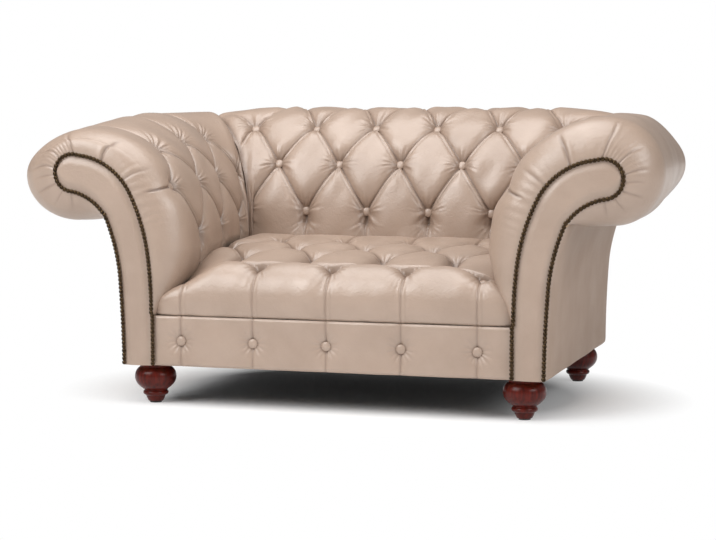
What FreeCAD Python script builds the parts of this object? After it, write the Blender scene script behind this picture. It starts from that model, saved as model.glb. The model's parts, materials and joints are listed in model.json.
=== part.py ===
import FreeCAD, Part
import math
import os

os.makedirs("parts", exist_ok=True)
V = FreeCAD.Vector

# Two-seat scroll-arm settee with button-tufted upholstery. Millimetres, Z up, the front faces -Y.
# Left and right are as seen from the front, so left is -X.

# Base and overall form
SEAT_WIDTH = 944.0        # clear width between the two arm facings
FACING_WIDTH = 78.0       # width of an arm at the base
BASE_DEPTH = 830.0        # facing front to outside back
CREASE_HEIGHT = 232.0     # seam between front border and seat
ARM_HEIGHT = 742.0        # ridge of the arm roll
BACK_HEIGHT = 762.0       # ridge of the back roll
LEATHER = 2.0             # cover with its thin wadding
FIT = 0.3                 # running clearance between pieces that only touch

# Arm section, as a quarter curve up to the ridge and a roll beyond it
ARM_PAD = 80.0            # how far the inside arm stands in from the facing
ARM_SWEEP = 342.0         # height of the inside quarter curve
ROLL_REACH = 265.0        # outermost roll beyond the base
ROLL_OVER = 120.0         # ridge to outermost roll
ROLL_DROP = 135.0         # ridge down to the widest level of the roll
ROLL_FOAM = 36.0

# Back section
BACK_PAD = 223.0          # inside face to ridge
BACK_SWEEP = 322.0
BACK_OVERHANG = 120.0     # back roll beyond the outside back
BACK_DROP = 130.0
BACK_TUCK = 24.0          # where the back roll tucks in, below its lowest line
CORNER_INSET = 7.0        # inside faces to the turning axis of the corners

# Tufting
ARM_FOAM = 56.0
BUTTON_DEPTH = 30.0
PLEAT_SHARE = 0.8         # depth of a pleat against the depth of a button
EDGE_DEPTH = 16.0
MITRE_DEPTH = 22.0
PAD_START = 58.0          # lower edge of inside arm and back padding above the crease
BACK_PITCH = 178.0
ARM_PITCH = 190.0
SEAT_PITCH = 192.0
COLUMN_MARGIN = 0.15      # share of the pitch kept free at the ends of a row
ARM_COLUMN_SHARE = 0.28   # last column of an arm, counted in pitches before the corner
ARM_ROW_ANGLES = (6.0, 29.5, 54.0)
BACK_ROW_ANGLES = (6.0, 31.0, 58.0, 104.0)
BACK_END_ANGLE = 122.0
ROLL_START = 1.5          # angle between the end of the back tufting and the plain roll
BUTTON_RADIUS = 10.5
BUTTON_DOME = 6.0
BUTTON_CONE = 11.5
BUTTON_LIFT = 0.9         # tip of a button above the bottom of its tuft

# Seat
LIP_SET = 8.0             # seat front behind the facing front
LIP_SIZE = 62.0           # depth of the rounded front edge
LIP_FACE = 68.0           # upright front of the seat above the crease
LIP_RISE = 72.0           # rounded edge above that
SEAT_RISE = 36.0          # top of the seat above the rounded edge
SEAT_ROWS = 4
SEAT_ROW_STEP = 135.0
FIRST_ROW_ANGLE = 66.0
SEAT_SIDE_GAP = 6.0
LIP_FLARE = 30.0          # extra half width of the front edge below the arms
LIP_HEEL = 18.0           # underside of the front edge, forward of the seat top
SEAT_BACK_GAP = 4.0

# Front pads, facings and nails
FACING_THICK = 8.0
CAP_END = 90.0            # depth at which the front pad reaches the full arm section
BAND_SHARES = ((0.0, 0.1), (0.15, 0.55), (0.44, 0.86), (1.0, 1.0))   # depth share, width share
PANEL = 3.0               # outside panels, stiffener and cover
LOOP_RADIUS = 48.0        # end of the nailed facing inside the roll
LOOP_BELOW = 158.0        # centre of that end below the ridge
LOOP_IN = 7.0             # centre of that end inside the ridge
FACING_STEP = 4.0         # foot of the padded front above the crease
FACING_SWELL = 1.5
FACING_WAIST = (8.0, 372.0)       # facing outline: out from the seat side, down from the ridge
FACING_CURVE = (28.0, 280.0)
FACING_SHOULDER = (60.0, 203.0)
FACING_NECK = (118.0, 141.0)
FACING_THROAT = (95.0, 223.0)     # out from the outside of the base, down from the ridge
BAND_START = 10.0         # foot of the full section inside the facing
BAND_HOLLOW = 24.0        # middle of the full section below the curve, out from the inside arm
TUCK_VIA = (45.0, 10.0)   # underside of the full roll: out from the notch, below it
TUCK_OUT = 3.0
WAIST_RISE = 40.0         # narrowest outside line above the middle of foot and notch
WAIST_OUT = 10.0
FLARE_OUT = 24.0
HEEL_OUT = 3.0
NOTCH_RISE = 6.0          # where the roll tucks in over the outside panels, above its lowest line
NOTCH_OUT = 51.0
FORMER = 5.0
NAIL_PITCH = 10.8
NAIL_RADIUS = 5.2
NAIL_HEAD = 4.0
NAIL_SHANK = 0.9
NAIL_INSET = 6.0
NAIL_POINT = 1.0
BORDER_SET = 6.0
BORDER_SCALLOP = 4.0
BORDER_BACK = 20.0
BORDER_CONE = 3.0
BORDER_DOME = 4.0

# Frame timber
RAIL_BELOW_SEAT = 10.0
RAIL_THICK = 24.0
POST_DEPTH = 42.0
POST_WIDTH = 45.0
POST_BELOW = 172.0        # top of the back posts below the back ridge
POST_GAPS = (-2.5, -0.5, 0.5, 2.5)   # places of the back posts, counted in springs from the middle
TACK_RISE = 10.0
TACK_SIZE = 44.0
BLOCK_SIZE = 90.0
BLOCK_HEIGHT = 46.0
LINING = 1.5
ARM_TACK_SET = 14.0       # tack rail of an arm outside the seat side
TOP_RAIL_IN = 40.0        # top rail of an arm, inside and outside the ridge
TOP_RAIL_OUT = 20.0
TOP_RAIL_SIZE = 40.0

# Springs
SPRING_COUNT = 7
WIRE = 3.6
SPRING_WIDTH = 46.0
SPRING_STEP = 25.0
CLIP_FIT = 0.1

# Feet
FOOT_SIDE_SET = 62.0
FOOT_FRONT_SET = 63.0
FOOT_REAR_SET = 74.0
GLIDE_THICK = 3.0
GLIDE_RADIUS = 15.0
BOLT_RADIUS = 4.0
BOLT_DEPTH = 45.0
NUT_RADIUS = 5.5
NUT_LENGTH = 14.0
NUT_FLANGE = 2.0
NUT_RIM = 5.0
FOOT_COLLAR = 42.0        # radii of the turned foot from top to bottom
COLLAR_ROUND = 3.0
FOOT_BUN = 54.0
FOOT_NECK = 28.0
FOOT_RING = 32.0
FOOT_ANKLE = 23.0
FOOT_TOE = 18.0
COLLAR_HEIGHT = 8.0       # heights of the turned foot from top to bottom
BUN_HEIGHT = 62.0
RING_HEIGHT = 16.0
TOE_HEIGHT = 14.0
BUN_CENTRE = 0.45         # widest level of the bun, as a share of its height from the top

# Shares used in drawing the curves
ARC_MIDDLE = 0.7          # middle of a domed quarter arc
TIP_SHARE = 0.25          # pointed end of a tufted cell
BELLY_SHARE = 0.75        # where a tufted cell is nearly full
BELLY_SINK = 0.1
FULL_CELL = 0.75          # share of the pitch from which a cell has its whole crown
STEEPEST = 0.4
LEAST_CROWN = 0.5
CORNER_TURN = 45.0        # angle of a mitred corner
MITRE_GAP = 0.1
CUT_OVER = 1.0            # how far a cutting tool passes a face

# Positions that follow from the sizes above
FOOT_HEIGHT = GLIDE_THICK + TOE_HEIGHT + RING_HEIGHT + BUN_HEIGHT + COLLAR_HEIGHT
TOTAL_DEPTH = NAIL_HEAD + BASE_DEPTH + BACK_OVERHANG
FRONT = NAIL_HEAD - TOTAL_DEPTH / 2
REAR = FRONT + BASE_DEPTH
XI = SEAT_WIDTH / 2
XO = XI + FACING_WIDTH
ARM_IN = XI - ARM_PAD
ARM_OUT = XO + ROLL_REACH
ARM_RIDGE = ARM_OUT - ROLL_OVER
AXIS_X = ARM_IN - CORNER_INSET
BACK_IN = REAR - BACK_PAD
AXIS_Y = BACK_IN - CORNER_INSET
CAP_REAR = FRONT + CAP_END
ARM_ROOT = ARM_HEIGHT - ARM_SWEEP
BACK_ROOT = BACK_HEIGHT - BACK_SWEEP
SEAT_HALF = ARM_IN - SEAT_SIDE_GAP
LIP_Y = FRONT + LIP_SET + LIP_SIZE
LIP_LOW = CREASE_HEIGHT + LIP_FACE
LIP_TOP = LIP_LOW + LIP_RISE
SEAT_CREST = LIP_TOP + SEAT_RISE
SEAT_BACK = BACK_IN - SEAT_BACK_GAP
PAD_BOTTOM = CREASE_HEIGHT + PAD_START
TACK_BOTTOM = PAD_BOTTOM + TACK_RISE
TACK_TOP = TACK_BOTTOM + TACK_SIZE
POST_TOP = BACK_HEIGHT - POST_BELOW
FOOT_X = XO - FOOT_SIDE_SET
ARM_REACH = ARM_RIDGE - ARM_IN
MITRE_REACH = (ARM_RIDGE - AXIS_X + REAR - AXIS_Y) / 2
MITRE_HEIGHT = (ARM_HEIGHT + BACK_HEIGHT) / 2
NOTCH_X = XO + NOTCH_OUT
NOTCH_HEIGHT = ARM_HEIGHT - 2 * ROLL_DROP + NOTCH_RISE
BACK_NOTCH = BACK_HEIGHT - 2 * BACK_DROP - BACK_TUCK
WAIST_HEIGHT = (NOTCH_HEIGHT + FOOT_HEIGHT) / 2 + WAIST_RISE
RAIL_FRONT = FRONT + BORDER_BACK
BOARD_REAR = RAIL_FRONT + RAIL_THICK
BOARD_THICK = BOARD_REAR - FRONT - FACING_THICK
RAIL_BOTTOM = FOOT_HEIGHT + LINING
RAIL_TOP = CREASE_HEIGHT - RAIL_BELOW_SEAT
SIDE_OUT = XO - PANEL - FIT
SIDE_IN = SIDE_OUT - RAIL_THICK
REAR_OUT = REAR - PANEL - FIT
REAR_IN = REAR_OUT - RAIL_THICK
POST_FRONT = REAR_OUT - POST_DEPTH
SPRING_PITCH = SEAT_WIDTH / SPRING_COUNT


def box(x0, x1, y0, y1, z0, z1):
    return Part.makeBox(x1 - x0, y1 - y0, z1 - z0, V(x0, y0, z0))


def mirror(shape):
    return shape.mirror(V(0, 0, 0), V(1, 0, 0))


def save(name, solids):
    shape = solids[0] if len(solids) == 1 else Part.makeCompound(solids)
    shape.exportStep("parts/" + name + ".step")


def save_pair(name, solids):
    save("right_" + name, solids)
    save("left_" + name, [mirror(solid) for solid in solids])


def line(a, b):
    return Part.makeLine(a, b)


def arc(a, b, c):
    return Part.Arc(a, b, c).toShape()


def turned(edges):
    """Solid of revolution about Z from a closed half section in XZ, listed from the top outwards."""
    return Part.Face(Part.Wire(edges)).revolve(V(0, 0, 0), V(0, 0, 1), 360)


def polygon(points):
    return Part.Face(Part.makePolygon(points + points[:1]))


def section_point(angle, ridge, reach, top, sweep, over, drop):
    """Point and outward normal of an upholstered section: 90 is the ridge, below 0 the straight drop."""
    turn = math.radians(angle)
    if angle < 0:
        return ridge - reach, top - sweep + angle, -1.0, 0.0
    wide, high = (reach, sweep) if angle <= 90 else (over, drop)
    along = ridge - wide * math.cos(turn)
    height = top - high + high * math.sin(turn)
    nx, nz = -high * math.cos(turn), wide * math.sin(turn)
    size = math.hypot(nx, nz)
    return along, height, nx / size, nz / size


def arm_section(angle):
    return section_point(angle, ARM_RIDGE, ARM_REACH, ARM_HEIGHT, ARM_SWEEP, ROLL_OVER, ROLL_DROP)


def back_section(angle):
    return section_point(angle, REAR, BACK_PAD, BACK_HEIGHT, BACK_SWEEP, BACK_OVERHANG, BACK_DROP)


def arm_place(angle, t, h):
    a, z, na, nz = arm_section(angle)
    return V(a + na * h, t, z + nz * h)


def back_place(angle, t, h):
    a, z, na, nz = back_section(angle)
    return V(t, a + na * h, z + nz * h)


def seat_section(s):
    """Seat profile: s runs in millimetres from the rounded edge to the back; negative s is the front edge."""
    if s >= 0:
        length = SEAT_BACK - LIP_Y
        left = 1 - s / length
        slope = 2 * SEAT_RISE * left / length
        size = math.hypot(1, slope)
        return LIP_Y + s, SEAT_CREST - SEAT_RISE * left * left, -slope / size, 1 / size
    if s >= -90:
        turn = math.radians(90 + s)
        ny, nz = -LIP_RISE * math.cos(turn), LIP_SIZE * math.sin(turn)
        size = math.hypot(ny, nz)
        y = LIP_Y - LIP_SIZE * math.cos(turn)
        return y, LIP_LOW + LIP_RISE * math.sin(turn), ny / size, nz / size
    drop = (-90 - s) * LIP_FACE / 90
    return LIP_Y - LIP_SIZE, LIP_LOW - drop, -1.0, 0.0


def seat_place(s, t, h):
    y, z, ny, nz = seat_section(s)
    return V(t, y + ny * h, z + nz * h)


class Quilt:
    """Tufted sheet over a section: rows of low points joined by pleats, with crowned cells between them."""

    def __init__(self, place, pitch, rows, lift):
        self.place = place
        self.pitch = pitch
        self.rows = rows
        self.lift = lift
        self.faces = []
        self.low_side = []
        self.high_side = []
        self.levels = []
        for lower, upper in zip(rows, rows[1:]):
            self.strip(lower, upper)
        self.levels.append(rows[-1][0])
        self.low_side.append(self.spot(rows[-1][0], *rows[-1][1][0]))
        self.high_side.append(self.spot(rows[-1][0], *rows[-1][1][-1]))

    def spot(self, s, t, depth):
        return self.place(s, t, self.lift - depth)

    def between(self, low, high, share):
        s = low[0] + (high[0] - low[0]) * share
        t = low[1] + (high[1] - low[1]) * share
        depth = low[2] + (high[2] - low[2]) * share
        return s, t, depth * PLEAT_SHARE

    def crown(self, a, b, sink):
        depth = (a[2] + b[2]) / 2
        width = abs(b[1] - a[1])
        fill = min(1.0, width / (FULL_CELL * self.pitch))
        rise = min((depth - sink) * fill, STEEPEST * width)
        middle = self.spot(a[0], (a[1] + b[1]) / 2, depth - max(rise, LEAST_CROWN))
        return arc(self.spot(*a), middle, self.spot(*b))

    def cell(self, apex, a, b):
        a1, b1 = self.between(apex, a, TIP_SHARE), self.between(apex, b, TIP_SHARE)
        a3, b3 = self.between(apex, a, BELLY_SHARE), self.between(apex, b, BELLY_SHARE)
        inner = self.crown(a3, b3, BELLY_SINK * BUTTON_DEPTH)
        tip = line(self.spot(*a1), self.spot(*b1))
        self.faces.append(polygon([self.spot(*apex), self.spot(*a1), self.spot(*b1)]))
        self.faces.append(Part.makeRuledSurface(tip, inner))
        self.faces.append(Part.makeRuledSurface(inner, self.crown(a, b, 0.0)))

    def strip(self, lower, upper):
        low = [(lower[0], t, d) for t, d in lower[1]]
        high = [(upper[0], t, d) for t, d in upper[1]]
        shares = (0.0,)
        inner_columns = zip(lower[1][1:-1], upper[1][1:-1])
        if len(low) == len(high) and all(a[0] == b[0] for a, b in inner_columns):
            for k in range(len(low) - 1):
                first = self.crown(low[k], low[k + 1], 0.0)
                second = self.crown(high[k], high[k + 1], 0.0)
                self.faces.append(Part.makeRuledSurface(first, second))
        else:
            shares = (0.0, TIP_SHARE, BELLY_SHARE)
            i = j = 0
            while i < len(low) - 1 or j < len(high) - 1:
                take_low = j == len(high) - 1
                if i < len(low) - 1 and j < len(high) - 1:
                    take_low = (low[i + 1][1], low[i][1]) < (high[j + 1][1], high[j][1])
                if take_low:
                    self.cell(high[j], low[i], low[i + 1])
                    i += 1
                else:
                    self.cell(low[i], high[j], high[j + 1])
                    j += 1
        for share in shares:
            for side, k in ((self.low_side, 0), (self.high_side, -1)):
                spot = low[k] if share == 0 else self.between(low[k], high[k], share)
                side.append(self.spot(*spot))
            self.levels.append(low[0][0] + (high[0][0] - low[0][0]) * share)

    def end_edges(self, k):
        s, nodes = self.rows[k]
        spots = [(s, t, d) for t, d in nodes]
        return [self.crown(a, b, 0.0) for a, b in zip(spots, spots[1:])]


def closed(faces):
    shell = Part.makeCompound(faces)
    shell.sewShape()
    solid = Part.Solid(Part.Shell(shell.Faces))
    if solid.Volume < 0:
        solid.reverse()
    return solid


def ring(top, base):
    return list(top) + list(reversed(base))


def sweep_faces(first, second):
    faces = []
    for k in range(len(first)):
        n = (k + 1) % len(first)
        faces.append(Part.makeRuledSurface(line(first[k], first[n]), line(second[k], second[n])))
    return faces


def side_faces(top, base, fan):
    """Side of a sheet between its edge lines, or the rings of a corner fan that carries it on."""
    faces = []
    if not fan:
        for k in range(len(top) - 1):
            upper, lower = line(top[k], top[k + 1]), line(base[k], base[k + 1])
            faces.append(Part.makeRuledSurface(upper, lower))
        return faces
    rings = [ring(top, base)] + list(fan)
    for first, second in zip(rings, rings[1:]):
        faces += sweep_faces(first, second)
    faces.append(polygon(rings[-1]))
    return faces


def quilted_solid(quilt, base_low, base_high, fan_low=(), fan_high=()):
    """Closes a quilt with a base, two ends and two sides."""
    faces = list(quilt.faces)
    for k in range(len(base_low) - 1):
        faces.append(polygon([base_low[k], base_high[k], base_high[k + 1], base_low[k + 1]]))
    for k in (0, -1):
        edges = quilt.end_edges(k)
        edges.append(line(quilt.high_side[k], base_high[k]))
        edges.append(line(base_high[k], base_low[k]))
        edges.append(line(base_low[k], quilt.low_side[k]))
        faces.append(Part.Face(Part.Wire(Part.__sortEdges__(edges))))
    faces += side_faces(quilt.low_side, base_low, fan_low)
    faces += side_faces(quilt.high_side, base_high, fan_high)
    return closed(faces)


def skin_solid(quilt, under, fan_low=(), fan_high=()):
    """Thin cover between two quilts of the same layout."""
    faces = quilt.faces + under.faces
    for k in (0, -1):
        edges = quilt.end_edges(k) + under.end_edges(k)
        edges.append(line(quilt.low_side[k], under.low_side[k]))
        edges.append(line(quilt.high_side[k], under.high_side[k]))
        faces.append(Part.Face(Part.Wire(Part.__sortEdges__(edges))))
    faces += side_faces(quilt.low_side, under.low_side, fan_low)
    faces += side_faces(quilt.high_side, under.high_side, fan_high)
    return closed(faces)


def fan_point(section, reach, top, angle, h, turn, start):
    """Point of a corner: a section turned about the corner axis while it eases to the mitre section."""
    a, z, na, nz = section(angle)
    ease = turn / CORNER_TURN
    out = a + na * h - start
    eased = 1 + (MITRE_REACH / reach - 1) * ease
    out = min(out, reach) * eased + max(out - reach, 0.0)
    climb = max(0.0, (z - ARM_ROOT) / (top - ARM_ROOT))
    height = z + nz * h + (MITRE_HEIGHT - top) * climb * ease
    return out, height, math.radians(turn)


def arm_fan(angles, h, turn):
    points = []
    for angle in angles:
        out, height, swing = fan_point(arm_section, ARM_RIDGE - AXIS_X, ARM_HEIGHT, angle, h, turn, AXIS_X)
        points.append(V(AXIS_X + out * math.cos(swing), AXIS_Y + out * math.sin(swing), height))
    return points


def back_fan(angles, h, turn, side):
    points = []
    for angle in angles:
        out, height, swing = fan_point(back_section, REAR - AXIS_Y, BACK_HEIGHT, angle, h, turn, AXIS_Y)
        points.append(V(side * (AXIS_X + out * math.sin(swing)), AXIS_Y + out * math.cos(swing), height))
    return points


FAN_STEPS = ((CORNER_TURN / 3, 0.0), (CORNER_TURN * 2 / 3, 0.0), (CORNER_TURN - MITRE_GAP, MITRE_DEPTH))


def columns_within(pitch, half, offset):
    """Columns of a symmetric row: multiples of the pitch, offset by a half on every other row."""
    count = int(half / pitch) + 2
    places = [(k + offset) * pitch for k in range(-count, count)]
    return [t for t in places if abs(t) < half - COLUMN_MARGIN * pitch]


def with_edges(columns, low, high, depth=BUTTON_DEPTH):
    nodes = [(low, EDGE_DEPTH)]
    nodes += [(t, depth) for t in columns]
    nodes.append((high, EDGE_DEPTH))
    return nodes


# Inside arms
arm_low, arm_high = CAP_REAR, AXIS_Y
drop_angle = PAD_BOTTOM - ARM_ROOT


def arm_columns(offset):
    count = int((AXIS_Y - arm_low) / ARM_PITCH) + 1
    places = [AXIS_Y - ARM_PITCH * (k + offset) for k in range(count, -1, -1)]
    return [t for t in places if t > arm_low + COLUMN_MARGIN * ARM_PITCH]


outer_columns = arm_columns(ARM_COLUMN_SHARE)
middle_columns = arm_columns(ARM_COLUMN_SHARE + 0.5)
arm_rows = [(drop_angle, with_edges(outer_columns, arm_low, arm_high, EDGE_DEPTH))]
arm_rows.append((ARM_ROW_ANGLES[0], with_edges(outer_columns, arm_low, arm_high)))
arm_rows.append((ARM_ROW_ANGLES[1], with_edges(middle_columns, arm_low, arm_high)))
arm_rows.append((ARM_ROW_ANGLES[2], with_edges(outer_columns, arm_low, arm_high)))
arm_rows.append((90.0, with_edges(outer_columns, arm_low, arm_high, EDGE_DEPTH)))
arm_top = Quilt(arm_place, ARM_PITCH, arm_rows, 0.0)
arm_under = Quilt(arm_place, ARM_PITCH, arm_rows, -LEATHER)
arm_levels = arm_top.levels
arm_base_low = [arm_place(s, arm_low, -ARM_FOAM) for s in arm_levels]
arm_base_high = [arm_place(s, arm_high, -ARM_FOAM) for s in arm_levels]
arm_skin_fan = []
arm_foam_fan = []
for turn, sink in FAN_STEPS:
    top = arm_fan(arm_levels, -sink, turn)
    under = arm_fan(arm_levels, -sink - LEATHER, turn)
    base = arm_fan(arm_levels, -ARM_FOAM, turn)
    arm_skin_fan.append(ring(top, under))
    arm_foam_fan.append(ring(under, base))
arm_cover = skin_solid(arm_top, arm_under, (), arm_skin_fan)
arm_foam = quilted_solid(arm_under, arm_base_low, arm_base_high, (), arm_foam_fan)
save_pair("inside_arm_cover", [arm_cover])
save_pair("inside_arm_foam", [arm_foam])

# Inside back
back_half = AXIS_X
even_columns = columns_within(BACK_PITCH, back_half, 0.5)
odd_columns = columns_within(BACK_PITCH, back_half, 0.0)
back_drop_angle = PAD_BOTTOM - BACK_ROOT
back_rows = [(back_drop_angle, with_edges(even_columns, -back_half, back_half, EDGE_DEPTH))]
for k, angle in enumerate(BACK_ROW_ANGLES):
    back_rows.append((angle, with_edges((even_columns, odd_columns)[k % 2], -back_half, back_half)))
back_rows.append((BACK_END_ANGLE, with_edges(odd_columns, -back_half, back_half, EDGE_DEPTH)))
back_top = Quilt(back_place, BACK_PITCH, back_rows, 0.0)
back_under = Quilt(back_place, BACK_PITCH, back_rows, -LEATHER)
back_base = [[back_place(s, side * back_half, -ARM_FOAM) for s in back_top.levels] for side in (-1, 1)]
skin_fans = [[], []]
foam_fans = [[], []]
for k, side in enumerate((-1, 1)):
    for turn, sink in FAN_STEPS:
        top = back_fan(back_top.levels, -sink, turn, side)
        under = back_fan(back_top.levels, -sink - LEATHER, turn, side)
        base = back_fan(back_top.levels, -ARM_FOAM, turn, side)
        skin_fans[k].append(ring(top, under))
        foam_fans[k].append(ring(under, base))
save("inside_back_cover", [skin_solid(back_top, back_under, skin_fans[0], skin_fans[1])])
save("inside_back_foam", [quilted_solid(back_under, back_base[0], back_base[1], foam_fans[0], foam_fans[1])])

# Seat
seat_even = columns_within(SEAT_PITCH, SEAT_HALF, 0.0)
seat_odd = columns_within(SEAT_PITCH, SEAT_HALF, 0.5)
lip_half = SEAT_HALF + LIP_FLARE
crease_half = XI - SEAT_SIDE_GAP
first_row = FIRST_ROW_ANGLE - 90.0
first_offset = LIP_SIZE * math.cos(math.radians(FIRST_ROW_ANGLE))
seat_rows = [(-180.0, with_edges(seat_even, -crease_half, crease_half, EDGE_DEPTH))]
seat_rows.append((-90.0, with_edges(seat_even, -lip_half, lip_half, EDGE_DEPTH)))
for k in range(SEAT_ROWS):
    s = first_row if k == 0 else k * SEAT_ROW_STEP - first_offset
    seat_rows.append((s, with_edges((seat_even, seat_odd)[k % 2], -SEAT_HALF, SEAT_HALF)))
last_columns = (seat_even, seat_odd)[(SEAT_ROWS - 1) % 2]
seat_rows.append((SEAT_BACK - LIP_Y, with_edges(last_columns, -SEAT_HALF, SEAT_HALF, EDGE_DEPTH)))
seat_top = Quilt(seat_place, SEAT_PITCH, seat_rows, 0.0)
seat_under = Quilt(seat_place, SEAT_PITCH, seat_rows, -LEATHER)


def seat_base(side):
    points = []
    for s, spot in zip(seat_top.levels, (seat_top.low_side, seat_top.high_side)[side > 0]):
        y = LIP_Y + s if s >= 0 else LIP_Y + LIP_HEEL * s / 180
        points.append(V(spot.x, y, CREASE_HEIGHT))
    return points


save("seat_cover", [skin_solid(seat_top, seat_under)])
save("seat_foam", [quilted_solid(seat_under, seat_base(-1), seat_base(1))])


# Buttons
def button_at(place, s, t, out, cone=BUTTON_CONE, dome=BUTTON_DOME):
    """Covered button with a tapered back, its tip at the bottom of a tuft."""
    rim = V(BUTTON_RADIUS, 0, cone)
    shoulder = V(BUTTON_RADIUS * ARC_MIDDLE, 0, cone + dome * ARC_MIDDLE)
    top = V(0, 0, cone + dome)
    solid = turned([arc(top, shoulder, rim), line(rim, V(0, 0, 0)), line(V(0, 0, 0), top)])
    low, high = place(s, t, out), place(s, t, out + 1)
    solid.Placement = FreeCAD.Placement(low, FreeCAD.Rotation(V(0, 0, 1), high - low))
    return solid


def buttons_of(place, rows):
    spots = [(s, t) for s, nodes in rows for t, depth in nodes if depth == BUTTON_DEPTH]
    return [button_at(place, s, t, BUTTON_LIFT - BUTTON_DEPTH) for s, t in spots]


save("seat_buttons", buttons_of(seat_place, seat_rows))
save("back_buttons", buttons_of(back_place, back_rows))
save_pair("arm_buttons", buttons_of(arm_place, arm_rows))


# Arm rolls and the back roll, with the formers that carry them
def roll_wire(start, ridge, over, top, drop, notch, notch_z, outer, inner, to_space):
    """Crescent from a start angle round the roll to its notch, between two depths under the surface."""
    def ring_point(angle, depth):
        turn = math.radians(angle)
        return to_space(ridge - (over - depth) * math.cos(turn), top - drop + (drop - depth) * math.sin(turn))

    tip = to_space(notch, notch_z + outer)
    heel = to_space(notch, notch_z + inner)
    edges = [arc(ring_point(start, outer), ring_point(start / 2 + 90, outer), ring_point(180, outer))]
    edges.append(arc(ring_point(180, outer), ring_point(225, outer), ring_point(270, outer)))
    edges.append(line(ring_point(270, outer), tip))
    edges.append(line(tip, heel))
    edges.append(line(heel, ring_point(270, inner)))
    edges.append(arc(ring_point(270, inner), ring_point(225, inner), ring_point(180, inner)))
    edges.append(arc(ring_point(180, inner), ring_point(start / 2 + 90, inner), ring_point(start, inner)))
    edges.append(line(ring_point(start, inner), ring_point(start, outer)))
    return Part.Wire(edges)


def blend(a, b, share):
    return a + (b - a) * share


def roll_sizes(kind, share):
    """Ridge, overhang, height, drop and notch of a roll, measured from the corner axis."""
    arm = (ARM_RIDGE - AXIS_X, ROLL_OVER, ARM_HEIGHT, ROLL_DROP, NOTCH_X - AXIS_X, NOTCH_HEIGHT)
    back = (REAR - AXIS_Y, BACK_OVERHANG, BACK_HEIGHT, BACK_DROP, REAR - AXIS_Y + FIT, BACK_NOTCH)
    own = arm if kind == "arm" else back
    return [blend(a, (b + c) / 2, share) for a, b, c in zip(own, arm, back)]


def arm_roll(outer, inner):
    wires = []
    for y in (CAP_REAR, AXIS_Y):
        sizes = roll_sizes("arm", 0.0)
        wires.append(roll_wire(90.0, *sizes, outer, inner, lambda d, z, y=y: V(AXIS_X + d, y, z)))
    for turn, _ in FAN_STEPS:
        c, s = math.cos(math.radians(turn)), math.sin(math.radians(turn))
        sizes = roll_sizes("arm", turn / CORNER_TURN)
        wires.append(roll_wire(90.0, *sizes, outer, inner,
                               lambda d, z, c=c, s=s: V(AXIS_X + d * c, AXIS_Y + d * s, z)))
    return Part.makeLoft(wires, True, True)


def back_roll(outer, inner):
    wires = []
    for side in (-1, 1):
        rings = []
        for turn, _ in ((0.0, 0.0),) + FAN_STEPS:
            c, s = math.cos(math.radians(turn)), math.sin(math.radians(turn))
            sizes = roll_sizes("back", turn / CORNER_TURN)
            rings.append(roll_wire(BACK_END_ANGLE + ROLL_START, *sizes, outer, inner,
                                    lambda d, z, c=c, s=s: V(side * (AXIS_X + d * s), AXIS_Y + d * c, z)))
        wires += rings[::-1] if side < 0 else rings
    return Part.makeLoft(wires, True, True)


save_pair("arm_roll_pad", [arm_roll(0.0, ROLL_FOAM)])
save_pair("arm_roll_former", [arm_roll(ROLL_FOAM + FIT, ROLL_FOAM + FORMER)])
save("back_roll_pad", [back_roll(0.0, ROLL_FOAM)])
save("back_roll_former", [back_roll(ROLL_FOAM + FIT, ROLL_FOAM + FORMER)])


# Arm facing outline, the rounded front band round it, and its nails
def loop_point(angle):
    turn = math.radians(angle)
    z = ARM_HEIGHT - LOOP_BELOW + LOOP_RADIUS * math.sin(turn)
    return ARM_RIDGE - LOOP_IN + LOOP_RADIUS * math.cos(turn), z


def section_xz(angle):
    a, z, na, nz = arm_section(angle)
    return a, z


def from_ridge(x, spot):
    out, down = spot
    return x + out, ARM_HEIGHT - down


FACING_START = (XI, CREASE_HEIGHT + FACING_STEP)
FACING_MIDDLE = (FACING_START[1] + ARM_HEIGHT - FACING_WAIST[1]) / 2
FACING_SPANS = (
    ((XI + FACING_SWELL, FACING_MIDDLE), from_ridge(XI, FACING_WAIST)),
    (from_ridge(XI, FACING_CURVE), from_ridge(XI, FACING_SHOULDER)),
    (from_ridge(XI, FACING_NECK), loop_point(110)),
    (loop_point(55), loop_point(0)),
    (loop_point(-45), loop_point(-85)),
    (from_ridge(XO, FACING_THROAT), (NOTCH_X, NOTCH_HEIGHT)),
)
FULL_START = (XI - BAND_START, CREASE_HEIGHT + FACING_STEP)
FULL_SPANS = (
    ((ARM_IN + BAND_HOLLOW, (FULL_START[1] + ARM_ROOT) / 2), (ARM_IN, ARM_ROOT)),
    (section_xz(15), section_xz(30)),
    (section_xz(60), section_xz(90)),
    (section_xz(135), section_xz(180)),
    (section_xz(225), section_xz(270)),
    ((NOTCH_X + TUCK_VIA[0], NOTCH_HEIGHT - TUCK_VIA[1]), (NOTCH_X + TUCK_OUT, NOTCH_HEIGHT - NOTCH_RISE)),
)


def mix(a, b, share):
    return a[0] + (b[0] - a[0]) * share, a[1] + (b[1] - a[1]) * share


def chain(start, spans, y):
    edges = []
    here = V(start[0], y, start[1])
    for via, end in spans:
        there = V(end[0], y, end[1])
        edges.append(arc(here, V(via[0], y, via[1]), there))
        here = there
    return edges


def outside_line(y, inset=0.0):
    """Outer line of an arm below the roll: its top, its foot, and the two arcs between them."""
    top = V(NOTCH_X - inset, y, NOTCH_HEIGHT)
    flare = V(XO + FLARE_OUT - inset, y, (NOTCH_HEIGHT + WAIST_HEIGHT) / 2)
    waist = V(XO + WAIST_OUT - inset, y, WAIST_HEIGHT)
    heel = V(XO + HEEL_OUT - inset, y, (WAIST_HEIGHT + FOOT_HEIGHT) / 2)
    foot = V(XO - inset, y, FOOT_HEIGHT)
    return top, foot, [arc(top, flare, waist), arc(waist, heel, foot)]


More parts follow.
